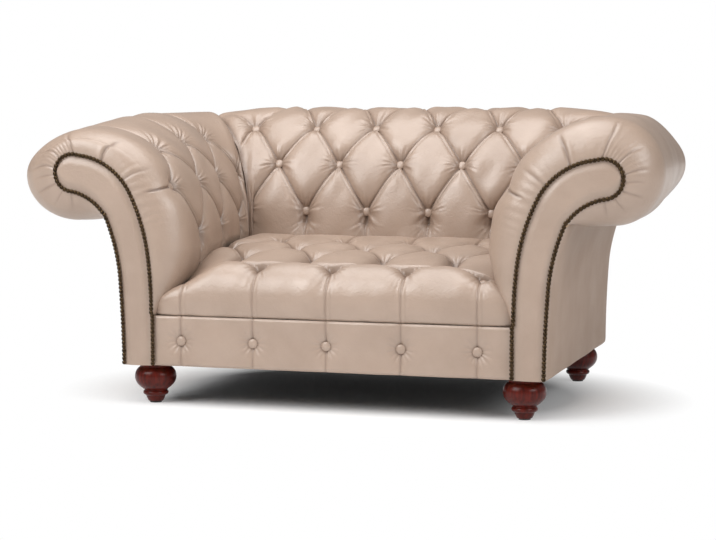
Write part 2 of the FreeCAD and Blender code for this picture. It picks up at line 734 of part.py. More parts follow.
def facing_wire(y):
    top, corner, outside = outside_line(y)
    heel = V(XI, y, FOOT_HEIGHT)
    edges = chain(FACING_START, FACING_SPANS, y) + outside
    edges.append(line(corner, heel))
    edges.append(line(heel, V(FACING_START[0], y, FACING_START[1])))
    return Part.Wire(edges)


def band_wire(y, share):
    spans = []
    for (via, end), (full_via, full_end) in zip(FACING_SPANS, FULL_SPANS):
        spans.append((mix(via, full_via, share), mix(end, full_end, share)))
    start = mix(FACING_START, FULL_START, share)
    outer = chain(start, spans, y)
    inner = chain(FACING_START, FACING_SPANS, y)
    tip = outer[-1].Vertexes[-1].Point
    rim = [line(V(start[0], y, start[1]), V(FACING_START[0], y, FACING_START[1]))]
    rim.append(line(tip, V(NOTCH_X, y, NOTCH_HEIGHT)))
    return Part.Wire(Part.__sortEdges__(outer + inner + rim))


band_depth = CAP_END - FACING_THICK
bands = [band_wire(FRONT + FACING_THICK + depth * band_depth, share) for depth, share in BAND_SHARES]
save_pair("arm_front_roll", [Part.makeLoft(bands, True, True)])

outline = facing_wire(FRONT)
nail_wire = outline.makeOffset2D(-NAIL_INSET)
nail_edges = [e for e in nail_wire.Edges if e.BoundBox.ZMax > FOOT_HEIGHT + 2 * NAIL_INSET]
nail_path = Part.Wire(Part.__sortEdges__(nail_edges))
nail_spots = nail_path.discretize(Number=int(nail_path.Length / NAIL_PITCH) + 1)
holes = [Part.Wire(Part.makeCircle(NAIL_SHANK, spot, V(0, 1, 0))) for spot in nail_spots]
facing = Part.makeFace([outline] + holes, "Part::FaceMakerBullseye").extrude(V(0, FACING_THICK, 0))
save_pair("arm_facing", [facing])


def nail_solid():
    rim, crown = V(NAIL_RADIUS, 0, 0), V(0, 0, NAIL_HEAD)
    shoulder = V(NAIL_RADIUS * ARC_MIDDLE, 0, NAIL_HEAD * ARC_MIDDLE)
    neck, tip = V(NAIL_SHANK, 0, 0), V(NAIL_SHANK, 0, NAIL_POINT - FACING_THICK)
    end = V(0, 0, -FACING_THICK)
    shank = [line(rim, neck), line(neck, tip), line(tip, end), line(end, crown)]
    return turned([arc(crown, shoulder, rim)] + shank)


nails = []
for spot in nail_spots:
    nail = nail_solid()
    nail.Placement = FreeCAD.Placement(spot, FreeCAD.Rotation(V(0, 0, 1), V(0, -1, 0)))
    nails.append(nail)
save_pair("facing_nails", nails)

# Front border with shallow pleats and its buttons
border_columns = columns_within(SEAT_PITCH, XI, 0.0)
low_line = FRONT + BORDER_SET + BORDER_SCALLOP
marks = [-XI + FIT] + border_columns + [XI - FIT]
border_edges = []
for a, b in zip(marks, marks[1:]):
    fill = min(1.0, (b - a) / SEAT_PITCH)
    middle = V((a + b) / 2, low_line - BORDER_SCALLOP * fill, FOOT_HEIGHT)
    border_edges.append(arc(V(a, low_line, FOOT_HEIGHT), middle, V(b, low_line, FOOT_HEIGHT)))
border_edges.append(line(V(marks[-1], low_line, FOOT_HEIGHT), V(marks[-1], RAIL_FRONT, FOOT_HEIGHT)))
border_edges.append(line(V(marks[-1], RAIL_FRONT, FOOT_HEIGHT), V(marks[0], RAIL_FRONT, FOOT_HEIGHT)))
border_edges.append(line(V(marks[0], RAIL_FRONT, FOOT_HEIGHT), V(marks[0], low_line, FOOT_HEIGHT)))
border_face = Part.Face(Part.Wire(border_edges))
save("front_border", [border_face.extrude(V(0, 0, CREASE_HEIGHT - FIT - FOOT_HEIGHT))])


def border_place(s, t, h):
    return V(t, low_line - h, s)


border_level = (FOOT_HEIGHT + CREASE_HEIGHT) / 2
border_buttons = []
for t in border_columns:
    border_buttons.append(button_at(border_place, border_level, t, FIT, BORDER_CONE, BORDER_DOME))
save("border_buttons", border_buttons)

# Outside panels and the cloth under the seat
panel_y = FRONT + FACING_THICK
top, foot, outer_edges = outside_line(panel_y)
inner_top, inner_foot, inner_edges = outside_line(panel_y, PANEL)
panel_edges = outer_edges + inner_edges + [line(top, inner_top), line(foot, inner_foot)]
panel_face = Part.Face(Part.Wire(Part.__sortEdges__(panel_edges)))
save_pair("outside_arm_panel", [panel_face.extrude(V(0, REAR - panel_y, 0))])
shoulder, heel, side_edges = outside_line(REAR - PANEL, PANEL + FIT)
step_in = V(AXIS_X, shoulder.y, shoulder.z)
step_up = V(AXIS_X, shoulder.y, BACK_NOTCH + ROLL_FOAM)
half_edges = side_edges + [line(shoulder, step_in), line(step_in, step_up)]
back_edges = half_edges + [mirror(edge) for edge in half_edges]
back_edges.append(line(step_up, V(-step_up.x, step_up.y, step_up.z)))
back_edges.append(line(heel, V(-heel.x, heel.y, heel.z)))
back_face = Part.Face(Part.Wire(Part.__sortEdges__(back_edges)))
save("outside_back_panel", [back_face.extrude(V(0, PANEL, 0))])

foot_spots = []
for end, y in (("front", FRONT + FOOT_FRONT_SET), ("rear", REAR - FOOT_REAR_SET)):
    for side, x in (("left", -FOOT_X), ("right", FOOT_X)):
        foot_spots.append((end + "_" + side, x, y))


def rod(x, y, z0, z1, radius):
    return Part.makeCylinder(radius, z1 - z0, V(x, y, z0))


dust = box(-SIDE_OUT, SIDE_OUT, BOARD_REAR + FIT, REAR_OUT, FOOT_HEIGHT, RAIL_BOTTOM)
for name, x, y in foot_spots:
    dust = dust.cut(rod(x, y, FOOT_HEIGHT - CUT_OVER, RAIL_BOTTOM + CUT_OVER, BOLT_RADIUS + FIT))
save("dust_cover", [dust])

# Seat frame
rail_half = XI + PANEL + FIT
save("front_rail", [box(-rail_half, rail_half, RAIL_FRONT, BOARD_REAR, RAIL_BOTTOM, RAIL_TOP)])
save("rear_rail", [box(-SIDE_IN, SIDE_IN, REAR_IN, REAR_OUT, RAIL_BOTTOM, RAIL_TOP)])
save_pair("side_rail", [box(SIDE_IN, SIDE_OUT, BOARD_REAR, REAR_OUT, RAIL_BOTTOM, RAIL_TOP)])
BLOCK_TOP = RAIL_BOTTOM + BLOCK_HEIGHT
blocks = []
for name, x, y in foot_spots:
    y0 = BOARD_REAR if y < 0 else REAR_IN - BLOCK_SIZE
    x0 = SIDE_IN - BLOCK_SIZE if x > 0 else -SIDE_IN
    block = box(x0, x0 + BLOCK_SIZE, y0, y0 + BLOCK_SIZE, RAIL_BOTTOM, BLOCK_TOP)
    block = block.cut(rod(x, y, RAIL_BOTTOM - CUT_OVER, BLOCK_TOP + CUT_OVER, BOLT_RADIUS + FIT))
    blocks.append(block.cut(rod(x, y, BLOCK_TOP - NUT_LENGTH, BLOCK_TOP + CUT_OVER, NUT_RADIUS)))
save("foot_blocks", blocks)

# Arm frames
board_face = Part.Face(outline.makeOffset2D(-PANEL - FIT))
front_board = board_face.extrude(V(0, BOARD_THICK, 0))
front_board.translate(V(0, FACING_THICK, 0))
save_pair("arm_front_board", [front_board])
rear_board = board_face.extrude(V(0, RAIL_THICK, 0))
rear_board.translate(V(0, AXIS_Y - RAIL_THICK - FRONT, 0))
rear_board = rear_board.common(box(0, ARM_OUT, FRONT, REAR, RAIL_TOP, ARM_HEIGHT))
rear_board = rear_board.cut(arm_roll(0.0, ROLL_FOAM + FORMER + FIT))
save_pair("arm_rear_board", rear_board.Solids)
rail_end = AXIS_Y - RAIL_THICK
top_rail_low = ARM_HEIGHT - LOOP_BELOW - TOP_RAIL_SIZE / 2
top_rail_in, top_rail_out = ARM_RIDGE - TOP_RAIL_IN, ARM_RIDGE + TOP_RAIL_OUT
top_rail_high = top_rail_low + TOP_RAIL_SIZE
save_pair("arm_top_rail", [box(top_rail_in, top_rail_out, BOARD_REAR, rail_end, top_rail_low, top_rail_high)])
tack_x = XI + ARM_TACK_SET
save_pair("arm_tack_rail", [box(tack_x, tack_x + RAIL_THICK, BOARD_REAR, rail_end, TACK_BOTTOM, TACK_TOP)])


def lining_solid(place, angles, low, high):
    near = [place(angle, low, -ARM_FOAM - FIT) for angle in angles]
    far = [place(angle, low, -ARM_FOAM - FIT - LINING) for angle in angles]
    return polygon(ring(near, far)).extrude(place(0, high, 0) - place(0, low, 0))


save_pair("inside_arm_lining", [lining_solid(arm_place, arm_levels, CAP_REAR, AXIS_Y)])

# Back frame
save("inside_back_lining", [lining_solid(back_place, back_top.levels, -AXIS_X, AXIS_X)])
posts = []
for gap in POST_GAPS:
    x = gap * SPRING_PITCH
    posts.append(box(x - POST_WIDTH / 2, x + POST_WIDTH / 2, POST_FRONT, REAR_OUT, RAIL_TOP, POST_TOP))
save("back_posts", posts)
save("back_top_rail", [box(-AXIS_X, AXIS_X, POST_FRONT, REAR_OUT, POST_TOP, POST_TOP + TACK_SIZE)])
tack_y = BACK_IN + ARM_FOAM + LINING + 3 * FIT
save("back_tack_rail", [box(-AXIS_X, AXIS_X, tack_y, tack_y + RAIL_THICK, TACK_BOTTOM, TACK_TOP)])

# Seat suspension
wire_z = RAIL_TOP + WIRE
spring_front, spring_rear = RAIL_FRONT + RAIL_THICK / 2, REAR_IN + RAIL_THICK / 2
turns = int((spring_rear - spring_front) / SPRING_STEP)
step = (spring_rear - spring_front) / turns
run = SPRING_WIDTH / 2 - step / 2


def spring_path(x):
    edges = []
    for k in range(turns + 1):
        y = spring_front + k * step
        side = 1 if k % 2 == 0 else -1
        edges.append(line(V(x - side * run, y, wire_z), V(x + side * run, y, wire_z)))
        if k < turns:
            far = V(x + side * (run + step / 2), y + step / 2, wire_z)
            edges.append(arc(V(x + side * run, y, wire_z), far, V(x + side * run, y + step, wire_z)))
    return Part.Wire(edges)


spring_xs = [(k - (SPRING_COUNT - 1) / 2) * SPRING_PITCH for k in range(SPRING_COUNT)]
section = Part.Wire(Part.makeCircle(WIRE / 2, V(spring_xs[0] - run, spring_front, wire_z), V(1, 0, 0)))
first_spring = spring_path(spring_xs[0]).makePipeShell([section], True, False)
springs = []
clips = []
for x in spring_xs:
    spring = first_spring.copy()
    spring.translate(V(x - spring_xs[0], 0, 0))
    springs.append(spring)
    for y in (spring_front, spring_rear):
        clip = box(x - run, x + run, y - WIRE, y + WIRE, RAIL_TOP, RAIL_TOP + 2 * WIRE)
        bore_end = V(x - run - CUT_OVER, y, wire_z)
        bore = Part.makeCylinder(WIRE / 2 + CLIP_FIT, 2 * (run + CUT_OVER), bore_end, V(1, 0, 0))
        clips.append(clip.cut(bore))
save("seat_springs", springs)
save("spring_clips", clips)
cloth_top = CREASE_HEIGHT - FIT
cloth_low = RAIL_TOP + 2 * WIRE + FIT
save("seat_base_cloth", [box(-SEAT_HALF, SEAT_HALF, RAIL_FRONT, POST_FRONT - FIT, cloth_low, cloth_top)])


# Turned feet with their bolts, nuts and glides
def foot_solid():
    """Turned bun foot: collar, full bun, ringed neck and a tapered base."""
    bun_top = FOOT_HEIGHT - COLLAR_HEIGHT
    neck = bun_top - BUN_HEIGHT
    ankle = neck - RING_HEIGHT
    spans = (
        (FOOT_COLLAR, FOOT_HEIGHT - COLLAR_HEIGHT / 2, FOOT_COLLAR, bun_top),
        (FOOT_BUN, bun_top - BUN_CENTRE * BUN_HEIGHT, FOOT_NECK, neck),
        (FOOT_RING, (neck + ankle) / 2, FOOT_ANKLE, ankle),
    )
    edges = []
    rim = V(FOOT_COLLAR - COLLAR_ROUND, 0, FOOT_HEIGHT)
    here = rim
    for via_r, via_z, end_r, end_z in spans:
        there = V(end_r, 0, end_z)
        edges.append(arc(here, V(via_r, 0, via_z), there))
        here = there
    toe, base, top = V(FOOT_TOE, 0, GLIDE_THICK), V(0, 0, GLIDE_THICK), V(0, 0, FOOT_HEIGHT)
    edges += [line(here, toe), line(toe, base), line(base, top), line(top, rim)]
    return turned(edges)


bolts = []
nuts = []
glides = []
bolt_low = FOOT_HEIGHT - BOLT_DEPTH
bored_foot = foot_solid().cut(rod(0, 0, bolt_low, FOOT_HEIGHT + CUT_OVER, BOLT_RADIUS))
for name, x, y in foot_spots:
    foot = bored_foot.copy()
    foot.translate(V(x, y, 0))
    save("foot_" + name, [foot])
    bolts.append(rod(x, y, bolt_low, BLOCK_TOP, BOLT_RADIUS))
    nut = rod(x, y, BLOCK_TOP - NUT_LENGTH, BLOCK_TOP, NUT_RADIUS)
    nut = nut.fuse(rod(x, y, BLOCK_TOP, BLOCK_TOP + NUT_FLANGE, NUT_RADIUS + NUT_RIM)).removeSplitter()
    nuts.append(nut.cut(rod(x, y, RAIL_BOTTOM, BLOCK_TOP + NUT_FLANGE + CUT_OVER, BOLT_RADIUS)))
    glides.append(rod(x, y, 0, GLIDE_THICK, GLIDE_RADIUS))
save("foot_bolts", bolts)
save("foot_nuts", nuts)
save("foot_glides", glides)
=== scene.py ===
# %% [markdown]
# A two-seat settee with scrolled arms, deep button tufting and turned feet. Its frame, stuffing and
# fastenings come in as solids that are already in place, so this lesson only dresses them: leather
# covers, buttons, nails and polish. All sizes are in metres, the front faces -Y and the left arm lies on
# the -X side.

# %% Load the frame
import json
import math

import bpy
import numpy as np
from mathutils import Matrix, Vector


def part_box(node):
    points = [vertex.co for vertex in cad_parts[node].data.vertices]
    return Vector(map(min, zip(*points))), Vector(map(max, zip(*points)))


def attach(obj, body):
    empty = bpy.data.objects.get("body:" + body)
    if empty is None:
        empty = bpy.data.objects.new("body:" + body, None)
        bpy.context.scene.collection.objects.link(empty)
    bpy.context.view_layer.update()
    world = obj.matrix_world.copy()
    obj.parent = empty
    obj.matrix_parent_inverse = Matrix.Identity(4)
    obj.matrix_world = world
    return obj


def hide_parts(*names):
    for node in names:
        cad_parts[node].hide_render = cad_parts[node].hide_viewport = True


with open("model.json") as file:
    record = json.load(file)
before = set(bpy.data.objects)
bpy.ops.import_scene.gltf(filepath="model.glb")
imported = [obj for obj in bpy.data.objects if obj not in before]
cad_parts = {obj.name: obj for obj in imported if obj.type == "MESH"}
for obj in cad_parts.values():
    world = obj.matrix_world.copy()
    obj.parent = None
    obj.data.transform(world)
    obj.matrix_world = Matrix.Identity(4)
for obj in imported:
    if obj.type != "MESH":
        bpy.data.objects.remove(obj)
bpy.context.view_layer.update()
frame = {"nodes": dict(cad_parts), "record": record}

nodes = frame["nodes"]
bpy.ops.object.select_all(action="DESELECT")

# %% [markdown]
# A cover has to fit the frame under it. Its main sizes could be typed in again, but a changed frame would
# then poke through, so they are read from the boxes of the solids: the facings give the side of the seat,
# the front and the foot line, and the rolls give the ridges.

# %% Sizes read from the frame
facing_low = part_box("right_arm_facing")[0]
roll_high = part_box("right_arm_roll_pad")[1]
SEAT_SIDE = facing_low.x
FRONT_Y = facing_low.y
FOOT_TOP = facing_low.z
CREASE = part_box("seat_cover")[0].z
ARM_TOP = roll_high.z
ARM_OUTER = roll_high.x
BACK_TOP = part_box("inside_back_cover")[1].z
REAR_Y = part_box("outside_back_panel")[1].y
SIDES = (("right", 1), ("left", -1))
print("seat side", round(SEAT_SIDE, 4), "front", round(FRONT_Y, 4), "rear", round(REAR_Y, 4))

# %% [markdown]
# Seen from its end, an arm is a scroll: a hollow sweep from the seat up to the ridge, then a full roll
# that turns over and tucks in. A curve drawn by hand would do, but here each stretch is part of an
# ellipse, so that one angle runs along the whole hide: 0 degrees at the root, 90 on the ridge, 270 under
# the roll and 300 where it is tucked in. Below the root the hide drops straight down, and negative angles
# count millimetres there.

# %% Curves of the upholstery
ARM_INNER = SEAT_SIDE - 0.080
ARM_SWEEP = 0.342
ROLL_OVER = 0.120
ROLL_DROP = 0.135
ARM_RIDGE = ARM_OUTER - ROLL_OVER
BACK_PAD = 0.223
BACK_SWEEP = 0.322
BACK_OVER = 0.120
BACK_DROP = 0.130
BACK_TUCK = (REAR_Y, BACK_TOP - 2 * BACK_DROP - 0.02)
PANEL_X = SEAT_SIDE + 0.078                         # outside of an arm at the foot
NOTCH = (PANEL_X + 0.051, ARM_TOP - 0.264)          # where the roll meets the outside of the arm


def section(angle, ridge, reach, top, sweep, over, drop, tuck):
    """Place and outward normal along a roll."""
    turn = np.radians(np.clip(angle, 0.0, 270.0))
    wide = np.where(angle <= 90, reach, over)
    high = np.where(angle <= 90, sweep, drop)
    out = ridge - wide * np.cos(turn)
    up = top - high + high * np.sin(turn) + np.minimum(angle, 0.0) / 1000
    n_out, n_up = -high * np.cos(turn), wide * np.sin(turn)
    size = np.hypot(n_out, n_up)
    share = np.clip((angle - 270) / 30, 0, 1)
    out = out + (tuck[0] - out) * share
    up = up + (tuck[1] - up) * share
    return out, up, n_out / size, n_up / size


def arm_section(angle):
    return section(angle, ARM_RIDGE, ARM_RIDGE - ARM_INNER, ARM_TOP, ARM_SWEEP, ROLL_OVER, ROLL_DROP, NOTCH)


def back_section(angle):
    return section(angle, REAR_Y, BACK_PAD, BACK_TOP, BACK_SWEEP, BACK_OVER, BACK_DROP, BACK_TUCK)


print("ridges: arms at x", round(ARM_RIDGE, 3), "and z", round(ARM_TOP, 3), "back at z", round(BACK_TOP, 3))

# %% [markdown]
# Back and arms meet in a mitre, where the two hides are drawn into one deep seam. Two straight rolls
# could be cut at 45 degrees, but stuffing bends round, so each cover turns like a fan about the inner
# corner, is eased to one shared section on the way, and sinks into a groove at the mitre.

# %% Corners
CORNER_X = ARM_INNER + 0.026
CORNER_Y = REAR_Y - BACK_PAD - 0.007
ARM_ROOT = ARM_TOP - ARM_SWEEP
MITRE_ANGLE = math.radians(45)
MITRE_REACH = (ARM_RIDGE - CORNER_X + REAR_Y - CORNER_Y) / 2
MITRE_TOP = (ARM_TOP + BACK_TOP) / 2
MITRE_DEPTH = 0.026
MITRE_WIDTH = 0.034
FAN_RADIUS = 0.112                                  # length of cover per radian of corner
FAN_LENGTH = math.radians(48.5) * FAN_RADIUS        # a little past the mitre, so that the covers close


def smooth_step(value):
    value = np.clip(value, 0, 1)
    return value * value * (3 - 2 * value)


def corner(out, up, turn, reach, top):
    """Eases a section towards the shared section of the mitre."""
    ease = turn / MITRE_ANGLE
    eased = np.minimum(out, reach) * (1 + (MITRE_REACH / reach - 1) * ease) + np.maximum(out - reach, 0)
    climb = np.clip((up - ARM_ROOT) / (top - ARM_ROOT), 0, None)
    return eased, up + (MITRE_TOP - top) * climb * ease


def mitre_gap(turn, out, short):
    """Length of cover between a place and the mitre; short is what lies before the bend."""
    return np.clip(short, 0, None) + (MITRE_ANGLE - turn) * np.maximum(out, 0.03)


def mitre_groove(turn, out, short):
    """The seam is deepest below the ridge, shallower in the tight corner and behind the roll."""
    depth = MITRE_DEPTH * np.clip(out / 0.15, 0.45, 1) * np.clip(1.6 - out / 0.3, 0.3, 1)
    return -depth * np.clip(1 - mitre_gap(turn, out, short) / MITRE_WIDTH, 0, 1) ** 2.2


def mitre_shade(turn, out, short):
    return 0.8 * np.exp(-(mitre_gap(turn, out, short) / 0.005) ** 2)


def corner_room(turn, out, short):
    """Tufting dies out where the corner is tight and right at the mitre."""
    bend = np.clip(turn / 0.2, 0, 1)
    tight = np.clip((out - 0.004) / 0.03, 0, 1) * bend + 1 - bend
    return tight * smooth_step(mitre_gap(turn, out, short) / 0.02)


print("inner corners at x", round(CORNER_X, 3), "and y", round(CORNER_Y, 3))

# %% [markdown]
# Hand-stuffed rolls aren't even: their fronts sag, the left one more, and they thin towards the back
# corners. A sculpting brush could push them, but then the push would have to be done again after each
# change. A few shifts at marks along the section, joined by a smooth curve, stay with the shape.

# %% Sag of the rolls
SAG_ANGLES = (30, 90, 135, 180, 225, 270, 300)
SAG_MARKS = (2.0, 3.0, 3.5, 4.0, 4.5, 5.0, 6.0)     # the same places on the outline of an arm
FRONT_OUT = (0, 0.004, 0.020, 0.036, 0.030, 0.006, 0)
FRONT_UP = (-0.010, -0.046, -0.050, -0.030, -0.020, -0.014, 0)
REAR_OUT = (0, 0, -0.010, -0.016, -0.020, 0, 0)
REAR_UP = (0, -0.012, -0.036, -0.012, 0.012, 0.014, 0)
ARM_REAR_OUT = (0.033, 0, -0.010, -0.016, -0.020, 0, 0)     # the inside is drawn out into the corner
FRONT_SAG = {"right": 0.22, "left": 1.0}                    # share of the front shifts on each arm


def flowing(value, marks, amounts):
    """Smooth curve through the amounts given at some marks."""
    marks, amounts = np.array(marks, float), np.array(amounts, float)
    slopes = np.gradient(amounts, marks)
    k = np.clip(np.searchsorted(marks, value) - 1, 0, len(marks) - 2)
    span = marks[k + 1] - marks[k]
    t = np.clip((value - marks[k]) / span, 0, 1)
    start = amounts[k] * (1 + 2 * t) * (1 - t) ** 2 + slopes[k] * span * t * (1 - t) ** 2
    end = amounts[k + 1] * (3 - 2 * t) * t ** 2 - slopes[k + 1] * span * (1 - t) * t ** 2
    return start + end


print("deepest sag in front:", round(min(FRONT_UP) * 1000), "mm")

# %% [markdown]
# A hide drawn over stuffing is a sheet with bumps and folds. It could be sculpted, but tufting repeats,
# so each sheet here starts as Blender's grid and its points are laid over the roll by a formula: every
# point knows its column and its row, and its height is worked out before it is placed.

# %% Sheets from grids
def steps(*parts):
    """Joins runs of (start, end, count) into one list of places."""
    runs = [np.linspace(a, b, n, endpoint=False) for a, b, n in parts]
    return np.concatenate(runs + [[parts[-1][1]]])


def cover(name, points, fold=None):
    """Smooth sheet from an array of points, rows by columns; fold is the painted shade at each point, kept
    as an attribute.
    """
    rows, columns = points.shape[:2]
    bpy.ops.object.select_all(action="DESELECT")
    bpy.ops.mesh.primitive_grid_add(x_subdivisions=columns - 1, y_subdivisions=rows - 1, size=1)
    piece = bpy.context.object
    piece.name = name
    piece.data.name = name
    flat = np.zeros(rows * columns * 3, np.float32)
    piece.data.vertices.foreach_get("co", flat)
    flat = flat.reshape(-1, 3)
    row = np.rint((flat[:, 1] + 0.5) * (rows - 1)).astype(int)
    column = np.rint((flat[:, 0] + 0.5) * (columns - 1)).astype(int)
    piece.data.vertices.foreach_set("co", points[row, column].astype(np.float32).ravel())
    if fold is not None:
        values = piece.data.attributes.new("fold", "FLOAT", "POINT")
        values.data.foreach_set("value", fold[row, column].astype(np.float32))
    piece.data.update()
    bpy.ops.object.shade_smooth()
    print(name, "from", rows, "rows of", columns, "points")
    return piece


def facing_out(piece, inside):
    """Turns a sheet over if most of its faces look towards the inside point."""
    mesh = piece.data
    votes = 0
    for face in list(mesh.polygons)[:: max(1, len(mesh.polygons) // 200)]:
        votes += 1 if face.normal.dot(face.center - Vector(inside)) > 0 else -1
    if votes < 0:
        mesh.flip_normals()
    return piece


print("two runs of steps share their joint:", steps((0, 1, 2), (1, 3, 2)))

# %% [markdown]
# The swelling of a pad will be found by a cloth simulation. It could run on the whole sheet, but the
# pillows are much larger than the grid's steps, so a coarser copy of some rows and columns is enough.
# What moves there is carried back to the fine grid by interpolation and a little smoothing.

# %% Coarse copies
CLOTH_EVERY = 4             # each fourth row and column goes into the coarser copy


def thinned(count):
    return np.unique(np.append(np.arange(0, count, CLOTH_EVERY), count - 1))


def spread_up(coarse, rows, columns, shape):
    """Carries values on some rows and columns of a grid to all of them, softly."""
    tall = np.stack([np.interp(np.arange(shape[0]), rows, line) for line in coarse.T], -1)
    full = np.stack([np.interp(np.arange(shape[1]), columns, line) for line in tall])
    for _ in range(3):
        full[1:-1] = (full[:-2] + 2 * full[1:-1] + full[2:]) / 4
        full[:, 1:-1] = (full[:, :-2] + 2 * full[:, 1:-1] + full[:, 2:]) / 4
    return full


print("100 rows are thinned to", len(thinned(100)))

# %% [markdown]
# Between its buttons the leather of a stuffed pad swells. That could be one more formula, but cloth that
# is blown up from inside finds the form by itself: buttons and pleats hold it, and the rest bulges.

# %% Swelling by cloth
CLOTH_FRAMES = 20
CLOTH_PRESSURE = 4.0
SWELL_LIMIT = 0.008
HOLD_DEPTH = 0.009          # a place this far down in a fold is held fast


def blown_up(piece, grip):
    """Runs the cloth on a sheet and returns its points before and after."""
    group = piece.vertex_groups.new(name="grip")
    for index, weight in enumerate(grip.ravel()):
        group.add([index], float(weight), "REPLACE")
    cloth = piece.modifiers.new("cloth", "CLOTH")
    cloth.settings.quality = 6
    cloth.settings.mass = 0.4
    cloth.settings.use_pressure = True
    cloth.settings.uniform_pressure_force = CLOTH_PRESSURE
    cloth.settings.vertex_group_mass = "grip"
    cloth.settings.effector_weights.gravity = 0
    cloth.collision_settings.use_collision = False
    before = np.zeros(grip.size * 3, np.float32)
    piece.data.vertices.foreach_get("co", before)
    for step in range(1, CLOTH_FRAMES + 1):
        bpy.context.scene.frame_set(step)
    bpy.ops.object.modifier_apply(modifier="cloth")
    after = np.zeros_like(before)
    piece.data.vertices.foreach_get("co", after)
    bpy.context.scene.frame_set(1)
    return before, after


def swelling(points, hold, inside):
    """How far each point of a cover moves when the cover is blown up, held where hold is 1."""
    rows, columns = thinned(points.shape[0]), thinned(points.shape[1])
    piece = facing_out(cover("settling", points[np.ix_(rows, columns)]), inside)
    grip = np.clip(hold, 0, 1)[np.ix_(rows, columns)]
    for border_line in (grip[:2], grip[-2:], grip[:, :2], grip[:, -2:]):
        border_line[:] = 1
    before, after = blown_up(piece, grip)
    bpy.data.objects.remove(piece)
    shift = (after - before).reshape(len(rows), len(columns), 3)
    size = np.linalg.norm(shift, axis=-1, keepdims=True)
    shift = shift * np.tanh(size / SWELL_LIMIT) * SWELL_LIMIT / np.maximum(size, 1e-9)
    print("cloth moved", round(float(size.mean()) * 1000, 1), "mm on average")
    return np.stack([spread_up(shift[..., k], rows, columns, points.shape[:2]) for k in range(3)], -1)


print("cloth:", CLOTH_FRAMES, "frames, swelling up to", SWELL_LIMIT * 1000, "mm")

# %% [markdown]
# No stuffing is quite even, and no two buttons gather the leather alike. A noise texture could displace
# the mesh, but two small functions give the same numbers in each run: slow lumps made of a few crossing
# waves, and a chance number for each button.

# %% Chance and lumps
def chance(a, b, seed):
    """Repeatable random number for a lattice place."""
    return np.modf(np.abs(np.sin(a * 12.9898 + b * 78.233 + seed) * 43758.5453))[0]


def lumps(u, v, seed, size):
    """Slow unevenness of stuffing, made of a few crossing waves."""
    total = np.zeros(np.broadcast(u, v).shape)
    dice = np.random.default_rng(seed)
    for _ in range(7):
        angle, phase = dice.uniform(0, 2 * math.pi, 2)
        wave = 2 * math.pi / dice.uniform(0.06, 0.16)
        total = total + np.sin((u * math.cos(angle) + v * math.sin(angle)) * wave + phase)
    return total * size / 2.6


sample = lumps(np.linspace(0, 1, 200), 0.0, 5, 0.0016)
print("lumps along a metre reach", round(float(np.abs(sample).max()) * 1000, 1), "mm")

# %% [markdown]
# In tufting, the leather between two buttons is folded over into a pleat: a narrow groove, beside it the
# flap of the fold, and a faint dip where the flap ends. Round each button the rest of the leather gathers
# into fine creases. Cuts with the knife tool would be too sharp, so both are smooth profiles by distance.

# %% Pleats and gathers
GROOVE_DEPTH, GROOVE_WIDTH = 0.0038, 0.0020
FLAP_START, FLAP_WIDTH, FLAP_RISE = 0.0025, 0.0075, 0.0026
HEM_GAP, HEM_WIDTH, HEM_DEPTH = 0.003, 0.0018, 0.0018
LINE_WIDTH = 0.0018
GATHER_DEPTH, GATHER_PLACE, GATHER_WIDTH = 0.0030, 0.018, 0.025


def pleat(d, strip, double, wide):
    """Relief and shadow line across a pleat, d from its groove; strip and double weaken the flap."""
    groove = -GROOVE_DEPTH * np.exp(-(d / GROOVE_WIDTH) ** 2)
    rising = 1 + np.exp(-(d - FLAP_START) / 0.0007)
    falling = 1 + np.exp((d - FLAP_WIDTH) / 0.0010)
    hem = np.exp(-((d - FLAP_WIDTH - HEM_GAP) / HEM_WIDTH) ** 2)
    relief = groove + (FLAP_RISE / rising / falling - HEM_DEPTH * hem) * strip * double
    return relief, np.exp(-(d / LINE_WIDTH / wide) ** 2) + 0.35 * double * hem


def gathers(way, luck):
    """Comb of creases by direction round a button, different for each luck."""
    swirl = way + 0.2 * np.sin(2 * way + luck)
    comb = 0.5 + 0.5 * np.cos(12 * swirl + luck) * np.cos(4 * way - 1.7 * luck)
    return comb + 0.4 * np.cos(21 * swirl + 3 * luck)


print("relief in a pleat's groove:", round(float(pleat(0.0, 1, 1, 1)[0]) * 1000, 1), "mm")

# %% [markdown]
# Deep tufting pulls the buttons into the stuffing on a diamond lattice. One diamond could be modelled and
# repeated, but the lattice bends over the rolls and changes at its edges. So two families of slanting
# pleats are crossed by a formula: each button is where two of them meet, and below the first row and
# above the last one they run straight on and fade.

# %% Tufting
PLEAT_DEPTH = 0.012


